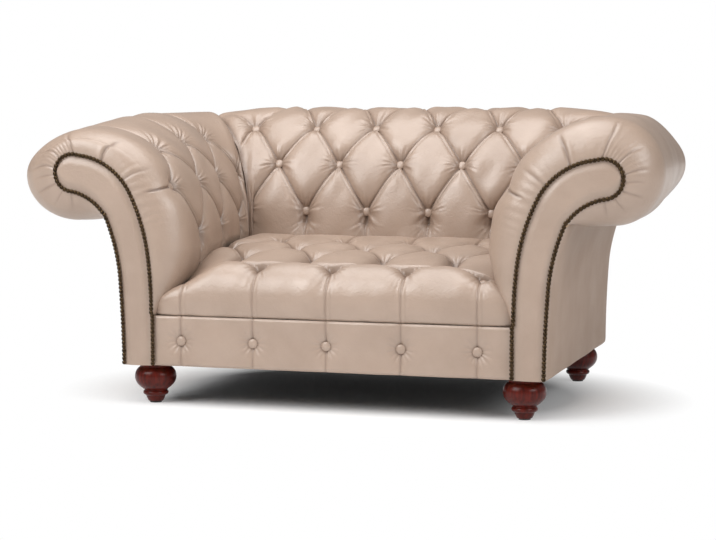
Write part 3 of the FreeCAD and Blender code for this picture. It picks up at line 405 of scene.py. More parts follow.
def tufting(across, row, last, pitch, rise, depth, low_ends, high_ends, seed, beside=0.0, wide=1.0,
            over=1):
    """Valley, crease and shade of a tufted cover; across counts columns and row counts button rows.

    The ends are the lengths, in rows, over which valleys and creases die out below and above the lattice.
    beside is how far a place lies past the end column, over is the side to which the pleats are folded and
    wide the width of their shadow lines.
    """
    inner = np.clip(row, 0.0, last)
    beyond = np.abs(row - inner)
    past = beyond + beside
    one, two = across - inner / 2, across + inner / 2
    off_one, off_two = one - np.round(one), two - np.round(two)
    below = row < 0
    valley = smooth_step(1 - past / np.where(below, low_ends[0], high_ends[0]))
    shown = smooth_step(1.2 - 1.2 * beyond / np.where(below, low_ends[1], high_ends[1]))
    near = np.exp(-(past / 0.11) ** 2)

    def family(off, other):
        dimple = (1 - 2 * np.abs(other)) ** 2.6 * near
        deep = PLEAT_DEPTH * valley + (depth - PLEAT_DEPTH) * dimple
        return deep * (1 - 2 * np.abs(off)) ** 4.6

    height = -(family(off_one, off_two) ** 4 + family(off_two, off_one) ** 4) ** 0.25
    knot_one, knot_two = np.round(one), np.round(two)
    dx = (across - (knot_one + knot_two) / 2 - beside) * pitch
    dy = (row - (knot_two - knot_one)) * rise
    far, way = np.hypot(dx, dy), np.arctan2(dy, dx)
    spacing = pitch * rise / math.hypot(pitch / 2, rise)
    clear = 1 - np.exp(-(far / 0.015) ** 2)
    crease, line = np.zeros_like(height), np.zeros_like(height)
    strip = 1 - 0.65 * smooth_step(beyond / 0.12)
    double = 1 - smooth_step(beside / 0.15)
    for off, side, share in ((off_one, 1, 1.0), (off_two, -1, np.exp(-(past / 0.05) ** 2))):
        relief, drawn = pleat(over * side * off * spacing, strip, double, wide)
        crease = crease + relief * share * shown * clear
        line = np.maximum(line, drawn * share * shown * clear * strip)
    comb = gathers(way, chance(knot_one, knot_two, seed) * 2 * math.pi)
    around = np.exp(-((far - GATHER_PLACE) / GATHER_WIDTH) ** 2) * np.exp(-(beside / 0.05) ** 2)
    gather = -GATHER_DEPTH * comb * around * (1 - 0.55 * below * smooth_step(beyond / 0.1))
    # painted shade: dark lines along the pleats, a dark spot round each button and in the gather creases
    shade = 0.85 * line + 0.5 * np.exp(-(far / 0.019) ** 2) * np.exp(-(beside / 0.1) ** 2)
    shade = shade + 0.16 * np.clip(comb, 0, 1) * around
    return height + gather, crease, np.clip(shade, 0, 1)


print("pleats between two buttons are", round(PLEAT_DEPTH * 1000), "mm deep")

# %% [markdown]
# The inside back is one hide from the seat up over the ridge and down behind the roll, and it turns
# through both corners to the mitres. Front and roll could be two sheets, but the real seam is out of
# sight below, so one grid does it all: its columns run along the back and its rows follow the angle of
# the section.

# %% Shape of the back
BACK_PITCH = 0.178
BACK_FOOT = -150                                    # the hide goes 150 mm down behind the seat
BACK_ROWS = (6.0, 32.0, 59.5, 105.0)                # angles of the button rows
BUTTON_DEPTH = 0.030
BACK_TUFTS = dict(last=3, pitch=BACK_PITCH, rise=0.138, depth=BUTTON_DEPTH, seed=3,
                  low_ends=(0.60, 2.4), high_ends=(0.40, 0.42))


def back_turn(along):
    return np.clip(np.abs(along) - CORNER_X, 0, None) / FAN_RADIUS


def back_place(along, angle, lift):
    out, up, n_out, n_up = back_section(angle)
    turn = back_turn(along)
    ease = np.clip(turn / MITRE_ANGLE, 0, 1)
    out = out + n_out * lift + flowing(angle, SAG_ANGLES, REAR_OUT) * ease
    up = up + n_up * lift + flowing(angle, SAG_ANGLES, REAR_UP) * ease
    away, z = corner(out - CORNER_Y, up, turn, REAR_Y - CORNER_Y, BACK_TOP)
    x = np.sign(along) * (np.minimum(np.abs(along), CORNER_X) + away * np.sin(turn))
    return np.stack([x, CORNER_Y + away * np.cos(turn), z], -1)


def back_height(along, angle):
    row = np.interp(angle, (BACK_FOOT,) + BACK_ROWS + (150,), (-1.05, 0, 1, 2, 3, 3.5))
    height, crease, fold = tufting(along / BACK_PITCH + 0.5, row, **BACK_TUFTS)
    bend = (back_turn(along), back_section(angle)[0] - CORNER_Y, CORNER_X - np.abs(along))
    roomy = corner_room(*bend)
    length = np.where(angle < 0, angle / 1000, angle * 0.0048)
    height = (height + crease) * roomy + lumps(along, length, 5, 0.0016)
    return height + mitre_groove(*bend), np.maximum(fold * roomy, mitre_shade(*bend))


print("back:", len(BACK_ROWS), "rows of buttons,", BACK_PITCH, "m from button to button")

# %% [markdown]
# The grid of the back is fine where the tufts are and coarser behind the roll, where little happens. An
# even grid would need far more points for the same pleats. The height is worked out first, then the
# places, and the cloth swells them last.

# %% Back cover
back_along = steps((-CORNER_X - FAN_LENGTH, -CORNER_X, 36), (-CORNER_X, CORNER_X, 300),
                   (CORNER_X, CORNER_X + FAN_LENGTH, 36))
back_angles = steps((BACK_FOOT, 0, 46), (0, 90, 170), (90, 125, 30), (125, 270, 48), (270, 300, 6))
along, angle = np.meshgrid(back_along, back_angles)
lift, fold = back_height(along, angle)
points = back_place(along, angle, lift)
inside = (0, REAR_Y, BACK_TOP - BACK_DROP)
points = points + swelling(points, -lift / HOLD_DEPTH, inside)
back_cover = facing_out(cover("back_cover", points, fold), inside)

# %% [markdown]
# An arm ends in front in a flat facing with a scrolled outline, as a joiner would draw it with a compass.
# The outline could be a Bezier curve, but arcs through three points need few numbers and meet without
# gaps, so both outlines are chains of arcs: the facing's, and that of the full roll behind it.

# %% Arcs
def through(a, via, b, share):
    """Points on the circular arc from a through via to b."""
    ax, ay = a
    bx, by = via[0] - ax, via[1] - ay
    cx, cy = b[0] - ax, b[1] - ay
    d = 2 * (bx * cy - by * cx)
    ux = (cy * (bx * bx + by * by) - by * (cx * cx + cy * cy)) / d
    uy = (bx * (cx * cx + cy * cy) - cx * (bx * bx + by * by)) / d
    first = math.atan2(-uy, -ux)
    middle = math.atan2(by - uy, bx - ux) - first
    last = math.atan2(cy - uy, cx - ux) - first
    tau = 2 * math.pi
    span = last % tau
    if middle % tau > span:
        span = span - tau
    radius = math.hypot(ux, uy)
    turn = first + span * share
    return ax + ux + radius * np.cos(turn), ay + uy + radius * np.sin(turn)


def spans_at(start, spans, sigma):
    """Point at sigma on a chain of arcs, one arc for each whole step of sigma."""
    x, z = np.zeros_like(sigma), np.zeros_like(sigma)
    here = start
    for k, (via, end) in enumerate(spans):
        mine = (sigma >= k) & ((sigma <= k + 1) if k == len(spans) - 1 else (sigma < k + 1))
        px, pz = through(here, via, end, sigma - k)
        x, z = np.where(mine, px, x), np.where(mine, pz, z)
        here = end
    return x, z


half_circle = through((1.0, 0.0), (0.0, 1.0), (-1.0, 0.0), 0.5)
print("a half circle passes", [round(float(v), 3) for v in half_circle])

# %% [markdown]
# The facing's outline and that of the full roll are counted alike: 0 at the seat, 6 at the notch under
# the scroll. They could be drawn apart, each with its own points, but with shared marks every row of the
# arm's grid can pass from one to the other.

# %% Outlines of an arm
HEM_Z = CREASE + 0.004                              # lower edge of the arm's leather
SCROLL_X, SCROLL_Z, SCROLL_SIZE = ARM_RIDGE - 0.007, ARM_TOP - 0.158, 0.048


def scroll(degrees):
    turn = math.radians(degrees)
    return SCROLL_X + SCROLL_SIZE * math.cos(turn), SCROLL_Z + SCROLL_SIZE * math.sin(turn)


def arm_spot(angle):
    return tuple(float(v) for v in arm_section(angle)[:2])


FACING_START = (SEAT_SIDE, HEM_Z)
FACING_SPANS = (
    ((SEAT_SIDE + 0.0015, CREASE + 0.071), (SEAT_SIDE + 0.008, ARM_TOP - 0.372)),
    ((SEAT_SIDE + 0.028, ARM_TOP - 0.280), (SEAT_SIDE + 0.060, ARM_TOP - 0.203)),
    ((SEAT_SIDE + 0.118, ARM_TOP - 0.141), scroll(110)),
    (scroll(55), scroll(0)),
    (scroll(-45), scroll(-85)),
    ((PANEL_X + 0.095, ARM_TOP - 0.223), NOTCH),
)
FULL_START = (SEAT_SIDE - 0.010, HEM_Z)
FULL_SPANS = (
    ((ARM_INNER + 0.024, (HEM_Z + ARM_ROOT) / 2), (ARM_INNER, ARM_ROOT)),
    (arm_spot(15), arm_spot(30)),
    (arm_spot(60), arm_spot(90)),
    (arm_spot(135), arm_spot(180)),
    (arm_spot(225), arm_spot(270)),
    ((NOTCH[0] + 0.045, NOTCH[1] - 0.010), (NOTCH[0] + 0.003, NOTCH[1] - 0.006)),
)
ARM_FOOT = -164                                     # the hide goes 164 mm down beside the seat
SIGMA_MARKS = (0, 1, 2, 3, 4, 5, 6)
ANGLE_MARKS = (ARM_FOOT, 0, 30, 90, 180, 270, 300)  # the angles at those marks


def facing_outline(sigma):
    return spans_at(FACING_START, FACING_SPANS, sigma)


def full_outline(sigma):
    """The true section where it is a curve of the roll, and plain arcs at its two ends."""
    x, z = spans_at(FULL_START, FULL_SPANS, sigma)
    out, up, _, _ = arm_section(np.interp(sigma, SIGMA_MARKS, ANGLE_MARKS))
    curved = (sigma >= 1) & (sigma <= 5)
    return np.where(curved, out, x), np.where(curved, up, z)


print("outlines:", len(FACING_SPANS), "arcs on the facing,", len(FULL_SPANS), "on the full roll")

# %% [markdown]
# The cover of an arm is tufted inside like the back. In front it rounds over to the nailed facing, and
# there short folds take up the slack. They could be cut into the finished mesh, but as part of the height
# they stay smooth, so the height adds up tufting, folds, lumps and the groove of the mitre.

# %% Height of an arm cover
CAP_DEPTH = 0.090                                   # the rounded front edge
CAP_REAR = FRONT_Y + CAP_DEPTH
CAP_PLEATS = ((2.18, 0.45, 0.4), (2.62, 0.60, 0.9), (3.14, 0.75, 0.8), (3.58, 0.40, 0.5), (3.90, 0.30, 0.6),
              (4.12, 0.25, 0.5), (4.38, 0.32, 0.7), (4.70, 0.25, 0.5), (5.00, 0.30, 0.5))
ARM_PITCH = 0.190
ARM_ROWS = (6.0, 29.5, 54.0)
ARM_FIRST = CORNER_Y - 2.72 * ARM_PITCH             # front button of the middle row
ARM_LEAN = 0.22                                     # slant of the pleats to the front, rows per column
ARM_TUFTS = dict(last=2, pitch=ARM_PITCH, rise=0.150, depth=BUTTON_DEPTH, seed=11,
                 low_ends=(1.1, 2.4), high_ends=(0.9, 1.25), wide=1.35, over=-1)


def cap_pleats(y, sigma):
    """Short radial folds where the roll is drawn in to the nails: (place, length, strength) each."""
    ahead = np.clip((y - FRONT_Y) / CAP_DEPTH, 0, 1)
    height, shade = np.zeros_like(sigma * ahead), np.zeros_like(sigma * ahead)
    for k, (mark, length, strength) in enumerate(CAP_PLEATS):
        d = (sigma - mark - 0.10 * math.sin(5 * k) * ahead) * 0.12
        fade = strength * smooth_step(1.3 * (1 - ahead / length))
        groove = np.exp(-(d / 0.0024) ** 2)
        height = height + (0.0014 * np.exp(-((d - 0.006) / 0.0035) ** 2) - 0.0036 * groove) * fade
        shade = np.maximum(shade, 0.7 * fade * groove)
    strain = np.sin(sigma * 61 + 4 * np.sin(sigma * 5.3)) * (0.4 + 0.6 * np.sin(sigma * 3.7 + 1))
    return height + 0.0005 * strain * np.clip(1 - ahead / 0.4, 0, 1), shade


def arm_height(y, turn, sigma):
    angle = np.interp(sigma, SIGMA_MARKS, ANGLE_MARKS)
    row = np.interp(angle, (ARM_FOOT,) + ARM_ROWS + (120, 121), (-1.2, 0, 1, 2, 3.4, 4.4))
    along = y + turn * FAN_RADIUS
    beside = np.clip(ARM_FIRST - along, 0, None) / ARM_PITCH
    across = (np.maximum(along, ARM_FIRST) - ARM_FIRST) / ARM_PITCH + 0.5
    height, crease, fold = tufting(across, row + ARM_LEAN * beside, beside=beside, **ARM_TUFTS)
    reach = arm_section(angle)[0] - CORNER_X + flowing(sigma, SAG_MARKS, ARM_REAR_OUT)
    bend = (turn, reach, CORNER_Y - y)
    roomy = corner_room(*bend)
    front = smooth_step((y - FRONT_Y - 0.004) / 0.075)
    edge = smooth_step((y - FRONT_Y - 0.002) / 0.012)
    pleats, drawn = cap_pleats(y, sigma)
    calm = 1 - 0.6 * np.clip((sigma - 3) / 0.5, 0, 1)
    height = (height * front + crease * edge) * roomy + pleats
    height = height + lumps(y + turn * 0.1, sigma * 0.13, 21, 0.0016) * calm * edge
    drawn = np.maximum(drawn, mitre_shade(*bend))
    return height + mitre_groove(*bend), np.maximum(fold * roomy * edge, drawn)


print("arm:", len(ARM_ROWS), "rows of buttons and", len(CAP_PLEATS), "short folds in front")

# %% [markdown]
# An arm is one hide too: it starts at the seat, sweeps up the inside, rolls over the ridge and tucks in
# under the scroll. A bevel would round its front edge evenly, but here the full outline shrinks along a
# quarter ellipse to the outline of the facing, which keeps the columns of the grid in line with the
# folds.

# %% Arm covers
def outward(x, z):
    dx, dz = np.gradient(x), np.gradient(z)
    size = np.hypot(dx, dz)
    return -dz / size, dx / size


def sag(y, sigma, amount):
    """Sideways and upward shift of the roll, by how far forward the place is."""
    ahead = smooth_step((0.05 - y) / 0.46) * amount
    behind = smooth_step((y + 0.30) / (CORNER_Y + 0.30))
    out = flowing(sigma, SAG_MARKS, FRONT_OUT) * ahead + flowing(sigma, SAG_MARKS, ARM_REAR_OUT) * behind
    up = flowing(sigma, SAG_MARKS, FRONT_UP) * ahead + flowing(sigma, SAG_MARKS, REAR_UP) * behind
    return out, up


arm_length = CORNER_Y - CAP_REAR
arm_along = steps((-1, 0, 54), (0, arm_length, 196), (arm_length, arm_length + FAN_LENGTH, 40))
arm_sigma = steps((0, 1, 26), (1, 2, 74), (2, 3, 128), (3, 4, 52), (4, 5, 36), (5, 6, 12))
behind_cap, sigma = np.meshgrid(arm_along, arm_sigma)
round_off = np.radians(np.clip(1 + behind_cap, 0, 1) * 90)
flat_y = np.where(behind_cap < 0, CAP_REAR - CAP_DEPTH * np.cos(round_off),
                  np.minimum(CAP_REAR + behind_cap, CORNER_Y))
turn = np.clip(CAP_REAR + behind_cap - CORNER_Y, 0, None) / FAN_RADIUS * (behind_cap > 0)
full_x, full_z = full_outline(arm_sigma)
face_x, face_z = facing_outline(arm_sigma)
normal_x, normal_z = outward(full_x, full_z)
share = np.sin(round_off)
lift, fold = arm_height(flat_y, turn, sigma)
x = face_x[:, None] + (full_x - face_x)[:, None] * share + normal_x[:, None] * lift * share
z = face_z[:, None] + (full_z - face_z)[:, None] * share + normal_z[:, None] * lift * share
y = flat_y - lift * np.cos(round_off)
swell = np.clip(share, 0.25, 1) * np.clip((flat_y - FRONT_Y) / 0.02, 0, 1)
arm_covers = []
for name, side in SIDES:
    out, up = sag(flat_y, sigma, FRONT_SAG[name])
    side_x, side_z = x + out * swell, z + up * swell
    away, side_z = corner(side_x - CORNER_X, side_z, turn, ARM_RIDGE - CORNER_X, ARM_TOP)
    side_x = np.where(turn > 0, CORNER_X + away * np.cos(turn), side_x)
    side_y = np.where(turn > 0, CORNER_Y + away * np.sin(turn), y)
    points = np.stack([side * side_x, side_y, side_z], -1)
    inside = (side * ARM_RIDGE, -0.1, ARM_TOP - ROLL_DROP)
    points = points + swelling(points, -lift / HOLD_DEPTH + (sigma > 3.2), inside)
    arm_covers.append(facing_out(cover(name + "_arm_cover", points, fold), inside))

# %% [markdown]
# The seat is tufted like the back, over a rounded front edge, and its columns draw together towards the
# back. It could be a box with a bevel, but the buttons need an even count round the front edge. So its
# profile is a quarter ellipse and a low rise behind it, with one measure that runs along both.

# %% Profile of the seat
LIP_Y, LIP_SIZE = FRONT_Y + 0.090, 0.082            # middle and depth of the rounded front edge
LIP_LOW, LIP_RISE = CREASE + 0.056, 0.084
SEAT_RISE = 0.036
SEAT_BACK = REAR_Y - BACK_PAD + 0.004


def seat_section(s):
    """Profile from the crease to the back: s below 0 goes round the front edge in degrees, then metres."""
    length = SEAT_BACK - LIP_Y
    left = 1 - np.clip(s, 0, None) / length
    slope = 2 * SEAT_RISE * left / length
    turn = np.radians(90 + np.clip(s, -90, 0))
    drop = np.clip(-90 - s, 0, None) * (LIP_LOW - CREASE) / 90
    y = np.where(s >= 0, LIP_Y + s, LIP_Y - LIP_SIZE * np.cos(turn))
    top = LIP_LOW + LIP_RISE + SEAT_RISE * (1 - left * left)
    z = np.where(s >= 0, top, LIP_LOW + LIP_RISE * np.sin(turn) - drop)
    ny = np.where(s >= 0, -slope, -LIP_RISE * np.cos(turn))
    nz = np.where(s >= 0, 1.0, LIP_SIZE * np.sin(turn))
    size = np.hypot(ny, nz)
    return y, z, ny / size, nz / size


print("seat top at z", round(float(seat_section(0.0)[1]), 3), "behind its front edge")

# %% [markdown]
# The seat has to close against the curved arms all round. It could be cut off by them with a boolean, but
# that would leave a ragged edge, so its half width is read from the arms' own outlines at each height. At
# the front corners an arm presses on it, and it sinks there.

# %% Width and tufts of the seat
SEAT_PITCH, SEAT_TAPER, SEAT_STEP = 0.194, 0.034, 0.128
SEAT_SHIFT = -0.008                                 # the columns stand a little to the left
SEAT_PRESSED = 0.052
FIRST_ROW = math.radians(76)
SEAT_TUFTS = dict(last=3, pitch=SEAT_PITCH, rise=SEAT_STEP, depth=0.036, seed=31,
                  low_ends=(0.42, 2.6), high_ends=(1.4, 1.6))
first_y = LIP_Y - LIP_SIZE * math.cos(FIRST_ROW)
ROW_MARKS = (-180, -90, -14.0) + tuple(first_y + SEAT_STEP * k - LIP_Y for k in (1, 2, 3, 4.2))
low_sigma = np.linspace(0, 1.6, 60)
ARM_FULL_X, ARM_FULL_Z = full_outline(low_sigma)
ARM_FACE_X, ARM_FACE_Z = facing_outline(low_sigma)


def seat_pitch(y):
    return SEAT_PITCH - SEAT_TAPER * np.clip(y - LIP_Y, 0, None)


def seat_half(s):
    """Half width of the seat, a little into the arms at each height and depth."""
    y, z, _, _ = seat_section(s)
    share = np.sqrt(np.clip(1 - (np.clip(CAP_REAR - y, 0, None) / CAP_DEPTH) ** 2, 0, 1))
    full, face = np.interp(z, ARM_FULL_Z, ARM_FULL_X), np.interp(z, ARM_FACE_Z, ARM_FACE_X)
    return np.minimum(face + (full - face) * share + 0.012, SEAT_SIDE - 0.001)


def seat_corner(x, s):
    """1 at the front corners, where the arm presses the stuffing down; more so on the left."""
    y = seat_section(s)[0]
    beside_arm = smooth_step(1 - (seat_half(s) - np.abs(x)) / 0.13)
    return beside_arm * smooth_step((FRONT_Y + 0.26 - y) / 0.20) * np.where(x < 0, 1.0, 0.35)


def seat_height(x, s):
    row = np.interp(s, ROW_MARKS, (-0.95, -0.45, 0, 1, 2, 3, 4.2))
    across = (x - SEAT_SHIFT) / seat_pitch(seat_section(s)[0])
    height, crease, fold = tufting(across, row, wide=1 + 1.3 * smooth_step((s + 20) / 20), **SEAT_TUFTS)
    height = height * (1 - 0.85 * seat_corner(x, s))
    return height + crease + lumps(x, np.where(s < 0, s / 900, s), 41, 0.0007), fold


def seat_drop(x, s):
    """How far the arm presses the seat down."""
    tall = (seat_section(s)[1] - CREASE) / (LIP_LOW + LIP_RISE - CREASE)
    return SEAT_PRESSED * seat_corner(x, s) * np.clip(tall, 0, 1)


print("half width of the seat:", round(float(seat_half(0.0)), 3), "m behind its front edge")

# %% [markdown]
# The sheet of the seat ends in creases on all four sides. Its edges could be sewn to the other covers,
# but it is enough to let them dip: a little along the arms, more at the back, and sharply at the crease
# in front.

# %% Seat cover
seat_s = steps((-180, -90, 30), (-90, 0, 52), (0, SEAT_BACK - LIP_Y, 204))
half_share, s = np.meshgrid(np.linspace(-1, 1, 331), seat_s)
y, z, normal_y, normal_z = seat_section(s)
x = half_share * seat_half(s)
lift, fold = seat_height(x, s)
edge = seat_half(s) - np.abs(x)
rear = SEAT_BACK - y
lift = lift - 0.012 * np.clip(1 - edge / 0.04, 0, 1) ** 2 - 0.022 * np.clip(1 - rear / 0.06, 0, 1) ** 2
lift = lift - 0.006 * np.clip(1 - (z - CREASE) / 0.009, 0, 1) ** 2
points = np.stack([x, y + normal_y * lift, z + normal_z * lift - seat_drop(x, s)], -1)
inside = (0, -0.1, CREASE)
points = points + swelling(points, -lift / HOLD_DEPTH, inside)
seat_cover = facing_out(cover("seat_cover_leather", points, fold), inside)

# %% [markdown]
# Under the seat a flat band of leather covers the front rail. Its pleats line up with those of the seat,
# and one row of buttons holds them. A bump texture could fake them, but they show at the edge of the
# band, so they are shaped like the tufts, only much shallower.

# %% Front border
BORDER_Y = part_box("front_border")[0].y - 0.001
BORDER_MIDDLE = (FOOT_TOP + CREASE) / 2
BORDER_DIMPLE = 0.0090


def border_height(x, z):
    off = (x - SEAT_SHIFT) / SEAT_PITCH
    off = off - np.round(off)
    dx, dz = off * SEAT_PITCH, z - BORDER_MIDDLE
    far, way = np.hypot(dx, dz), np.arctan2(dz, dx)
    fold = -0.0022 * np.exp(-(dx / 0.0030) ** 2) + 0.0012 * np.exp(-((dx - 0.0065) / 0.003) ** 2)
    height = fold - 0.004 * (1 - 2 * np.abs(off)) ** 4 - BORDER_DIMPLE * np.exp(-(far / 0.022) ** 2)
    comb = 0.5 + 0.5 * np.cos(13 * way + x * 40)
    height = height - 0.0018 * comb * np.exp(-((far - 0.02) / 0.016) ** 2)
    edge = np.minimum(z - FOOT_TOP, CREASE - z)
    height = height - 0.005 * np.clip(1 - edge / 0.007, 0, 1) ** 2
    shade = 0.4 * np.exp(-(dx / 0.0022) ** 2) + 0.5 * np.exp(-((far - 0.012) / 0.004) ** 2)
    return height + lumps(x, z, 51, 0.0008), np.clip(shade, 0, 1)


x, z = np.meshgrid(np.linspace(-SEAT_SIDE, SEAT_SIDE, 361), np.linspace(FOOT_TOP, CREASE - 0.0005, 61))
lift, fold = border_height(x, z)
border = cover("front_border_leather", np.stack([x, BORDER_Y - lift, z], -1), fold)
facing_out(border, (0, 0, BORDER_MIDDLE))

# %% [markdown]
# The outside of an arm and of the back is a single panel pulled over board. The plain solids could stay
# as they are, but stretched leather keeps faint waves and draws in at its edges, so each panel is a sheet
# of its own along the curved outer line. Its top edge is nailed out of sight, under the roll.

# %% Outside panels
PANEL_TOP = 1.9             # past this mark a panel goes up into the roll
PANEL_RISE = 0.4            # metres per mark there


def outside_line(share):
    """Outer line of an arm from the foot (0) over the waist (1) to the notch (2)."""
    waist = (PANEL_X + 0.010, (NOTCH[1] + FOOT_TOP) / 2 + 0.040)
    low_via = (PANEL_X + 0.003, (waist[1] + FOOT_TOP) / 2)
    high_via = (PANEL_X + 0.024, (waist[1] + NOTCH[1]) / 2)
    return spans_at((PANEL_X, FOOT_TOP), ((low_via, waist), (high_via, NOTCH)), share)


def panel_line(share):
    x, z = outside_line(share)
    return x, np.where(share > PANEL_TOP, z + (share - PANEL_TOP) * PANEL_RISE, z)


def drawn_in(z, depth):
    """How far the lower edge is drawn in."""
    return depth * np.clip(1 - (z - FOOT_TOP) / 0.010, 0, 1) ** 2


share, y = np.meshgrid(np.linspace(0, 2, 81), np.linspace(FRONT_Y + 0.004, REAR_Y, 121))
x, z = panel_line(share)
edge = np.minimum(y - FRONT_Y - 0.03, REAR_Y - y)
wave = lumps(y * 0.35, z * 0.25, 61, 0.0009) + 0.002 * np.clip(edge / 0.06, 0, 1) + 0.0012
wave = wave - drawn_in(z, 0.002)
outside_panels = []
for name, side in SIDES:
    panel = cover(name + "_outside_panel", np.stack([side * (x + wave), y, z], -1), np.zeros_like(x))
    outside_panels.append(facing_out(panel, (side * SEAT_SIDE, -0.05, 0.3)))

share, across = np.meshgrid(np.linspace(0, 2.0, 101), np.linspace(-1, 1, 161))
x, z = panel_line(share)
wave = lumps(across * 0.25, z * 0.3, 71, 0.0009) + 0.003 * np.clip((1 - np.abs(across)) / 0.1, 0, 1)
wave = wave - drawn_in(z, 0.004)
back_panel = cover("outside_back_leather", np.stack([across * x, REAR_Y + wave, z], -1), np.zeros_like(x))
facing_out(back_panel, (0, 0, 0.3))

# %% [markdown]
# Each facing is a thin padded board. Its outline could be filled with one face, but it swells a little
# between its nailed edges, so it is lofted across: the rows of a grid join the inner edge to the outer
# one, from the foot up to the far side of the scroll.

# %% Arm facings
FACING_SWELL = 0.0045
inner_marks = steps((-1, 0, 30), (0, 4, 149))
outer_marks = np.concatenate([np.linspace(0, 2, 90, endpoint=False), np.linspace(2, 4, 90)])


def facing_inner(mark):
    """Straight up from the foot to the seat, then along the outline."""
    x, z = facing_outline(np.clip(mark, 0, 6))
    straight = HEM_Z + mark * (HEM_Z - FOOT_TOP)
    return np.where(mark < 0, SEAT_SIDE, x), np.where(mark < 0, straight, z)


def facing_outer(mark):
    """Up the outside line to the notch, then back along the scroll to its far side."""
    low_x, low_z = outside_line(np.clip(mark, 0, 2))
    high_x, high_z = facing_outline(6 - np.clip(mark - 2, 0, 2))
    return np.where(mark <= 2, low_x, high_x), np.where(mark <= 2, low_z, high_z)


inner_x, inner_z = facing_inner(inner_marks)
outer_x, outer_z = facing_outer(outer_marks)
share = np.linspace(0, 1, 41)[None, :]
x = inner_x[:, None] + (outer_x - inner_x)[:, None] * share
z = inner_z[:, None] + (outer_z - inner_z)[:, None] * share
width = np.hypot(outer_x - inner_x, outer_z - inner_z)[:, None]
edge = np.minimum(share, 1 - share) * width
swell = FACING_SWELL * smooth_step((edge - 0.006) / 0.022) * np.clip(width / 0.05, 0, 1) - 0.0015
swell = swell + lumps(x, z, 81, 0.0007) * np.clip(edge / 0.02, 0, 1)
facings = []
for name, side in SIDES:
    facing = cover(name + "_facing_leather", np.stack([side * x, FRONT_Y - swell, z], -1), np.zeros_like(x))
    facings.append(facing_out(facing, (side * 0.55, 0.1, 0.3)))

# %% [markdown]
# A close row of domed nails holds each facing. They touch, so from a distance the row looks like a cord.
# An array along a curve would set them all alike, but nails driven by hand lean a little. So one nail is
# modelled from a sphere and copied at even steps along the edge, each copy tilted by chance.

# %% One nail
NAIL_SIZE = 0.0058

bpy.ops.object.select_all(action="DESELECT")
bpy.ops.mesh.primitive_uv_sphere_add(segments=14, ring_count=10, radius=NAIL_SIZE)
nail = bpy.context.object
for vertex in nail.data.vertices:
    vertex.co.z *= 0.72 if vertex.co.z > 0 else 0.25
bpy.ops.object.shade_smooth()
print("nail:", len(nail.data.vertices), "points")

# %% [markdown]
# The row runs up beside the seat, round the scroll and down the outside. The nails could be linked
# copies, but each row has to be one piece of its own, so the copies get meshes of their own and are
# joined.

# %% Nail rows
NAIL_STEP = 0.0100
NAIL_END = 0.006                                    # the row stops this far above the foot line
NAIL_LEAN = 0.10
NAIL_Y = FRONT_Y - 0.0012


def copy_at(pattern, place):
    """A copy with a mesh of its own, put at its place by a matrix."""
    copy = pattern.copy()
    copy.data = pattern.data.copy()
    bpy.context.collection.objects.link(copy)
    copy.data.transform(place)
    return copy


def copies_of(pattern, name, places):
    """One object made of a copy of the pattern at each place."""
    copies = [copy_at(pattern, place) for place in places]
    bpy.ops.object.select_all(action="DESELECT")
    for copy in copies:
        copy.select_set(True)
    bpy.context.view_layer.objects.active = copies[0]
    bpy.ops.object.join()
    copies[0].name = name
    copies[0].data.name = name
    print(name, "from", len(copies), "copies")
    return copies[0]


loop_x, loop_z = facing_outline(np.linspace(0, 6, 600))
down_x, down_z = outside_line(np.linspace(2, 0, 160))
rise_z = FOOT_TOP + NAIL_END + np.linspace(0, 1, 20) * (CREASE - FOOT_TOP - NAIL_END)
edge_x = np.concatenate([np.full(20, SEAT_SIDE - 0.003), loop_x, down_x - 0.002])
edge_z = np.concatenate([rise_z, loop_z, down_z])
run = np.concatenate([[0], np.cumsum(np.hypot(np.diff(edge_x), np.diff(edge_z)))])
marks = np.linspace(0, run[-1] - NAIL_END, int((run[-1] - NAIL_END) / NAIL_STEP))
upright = Matrix.Rotation(math.radians(90), 4, "X")
dice = np.random.default_rng(7)
nail_rows = []
for name, side in SIDES:
    places = []
    for x, z in zip(np.interp(marks, run, edge_x), np.interp(marks, run, edge_z)):
        lean = Matrix.Rotation(dice.normal(0, NAIL_LEAN), 4, "Y")
        lean = lean @ Matrix.Rotation(dice.normal(0, NAIL_LEAN), 4, "X")
        places.append(Matrix.Translation((side * x, NAIL_Y, z)) @ upright @ lean)
    nail_rows.append(copies_of(nail, name + "_nail_row", places))
bpy.data.objects.remove(nail)

# %% [markdown]
# A covered button is a low dome with a softly crimped rim and a stalk that goes down into the stuffing.
# It could be a squashed sphere, but the rim and the start of the stalk show above the leather, so the
# sphere's points are pinched below and crimped round the edge. One button is made here and copied later.

# %% One button
BUTTON_SIZE = 0.0125
DOME, STALK = 0.42, 1.05                            # height above and below the rim, for a radius of 1

bpy.ops.object.select_all(action="DESELECT")
bpy.ops.mesh.primitive_uv_sphere_add(segments=28, ring_count=16, radius=BUTTON_SIZE)
button = bpy.context.object
for vertex in button.data.vertices:
    r = math.hypot(vertex.co.x, vertex.co.y) / BUTTON_SIZE
    up = vertex.co.z / BUTTON_SIZE
    pinch = 1 - 0.45 * max(0.0, -up) ** 0.7
    crimp = 1 + 0.03 * math.cos(12 * math.atan2(vertex.co.y, vertex.co.x)) * r * (up < 0.3)
    vertex.co.x *= pinch * crimp
    vertex.co.y *= pinch * crimp
    vertex.co.z *= DOME if up > 0 else STALK
bpy.ops.object.shade_smooth()
print("button:", len(button.data.vertices), "points")

# %% [markdown]
# Each button sits at the bottom of its dimple and looks the way the cover faces there. They could be
# placed by eye, but the covers' own formulas know the spots: a place on the bare section, the direction
# out of it, and the depth of the dimple.

# %% Button helpers
SIT = 0.0118                # the rim stays this far above the bottom of the dimple


def row_offset(k):
    """Every other row is shifted by half a pitch."""
    return 0.5 if k % 2 == 0 else 0.0


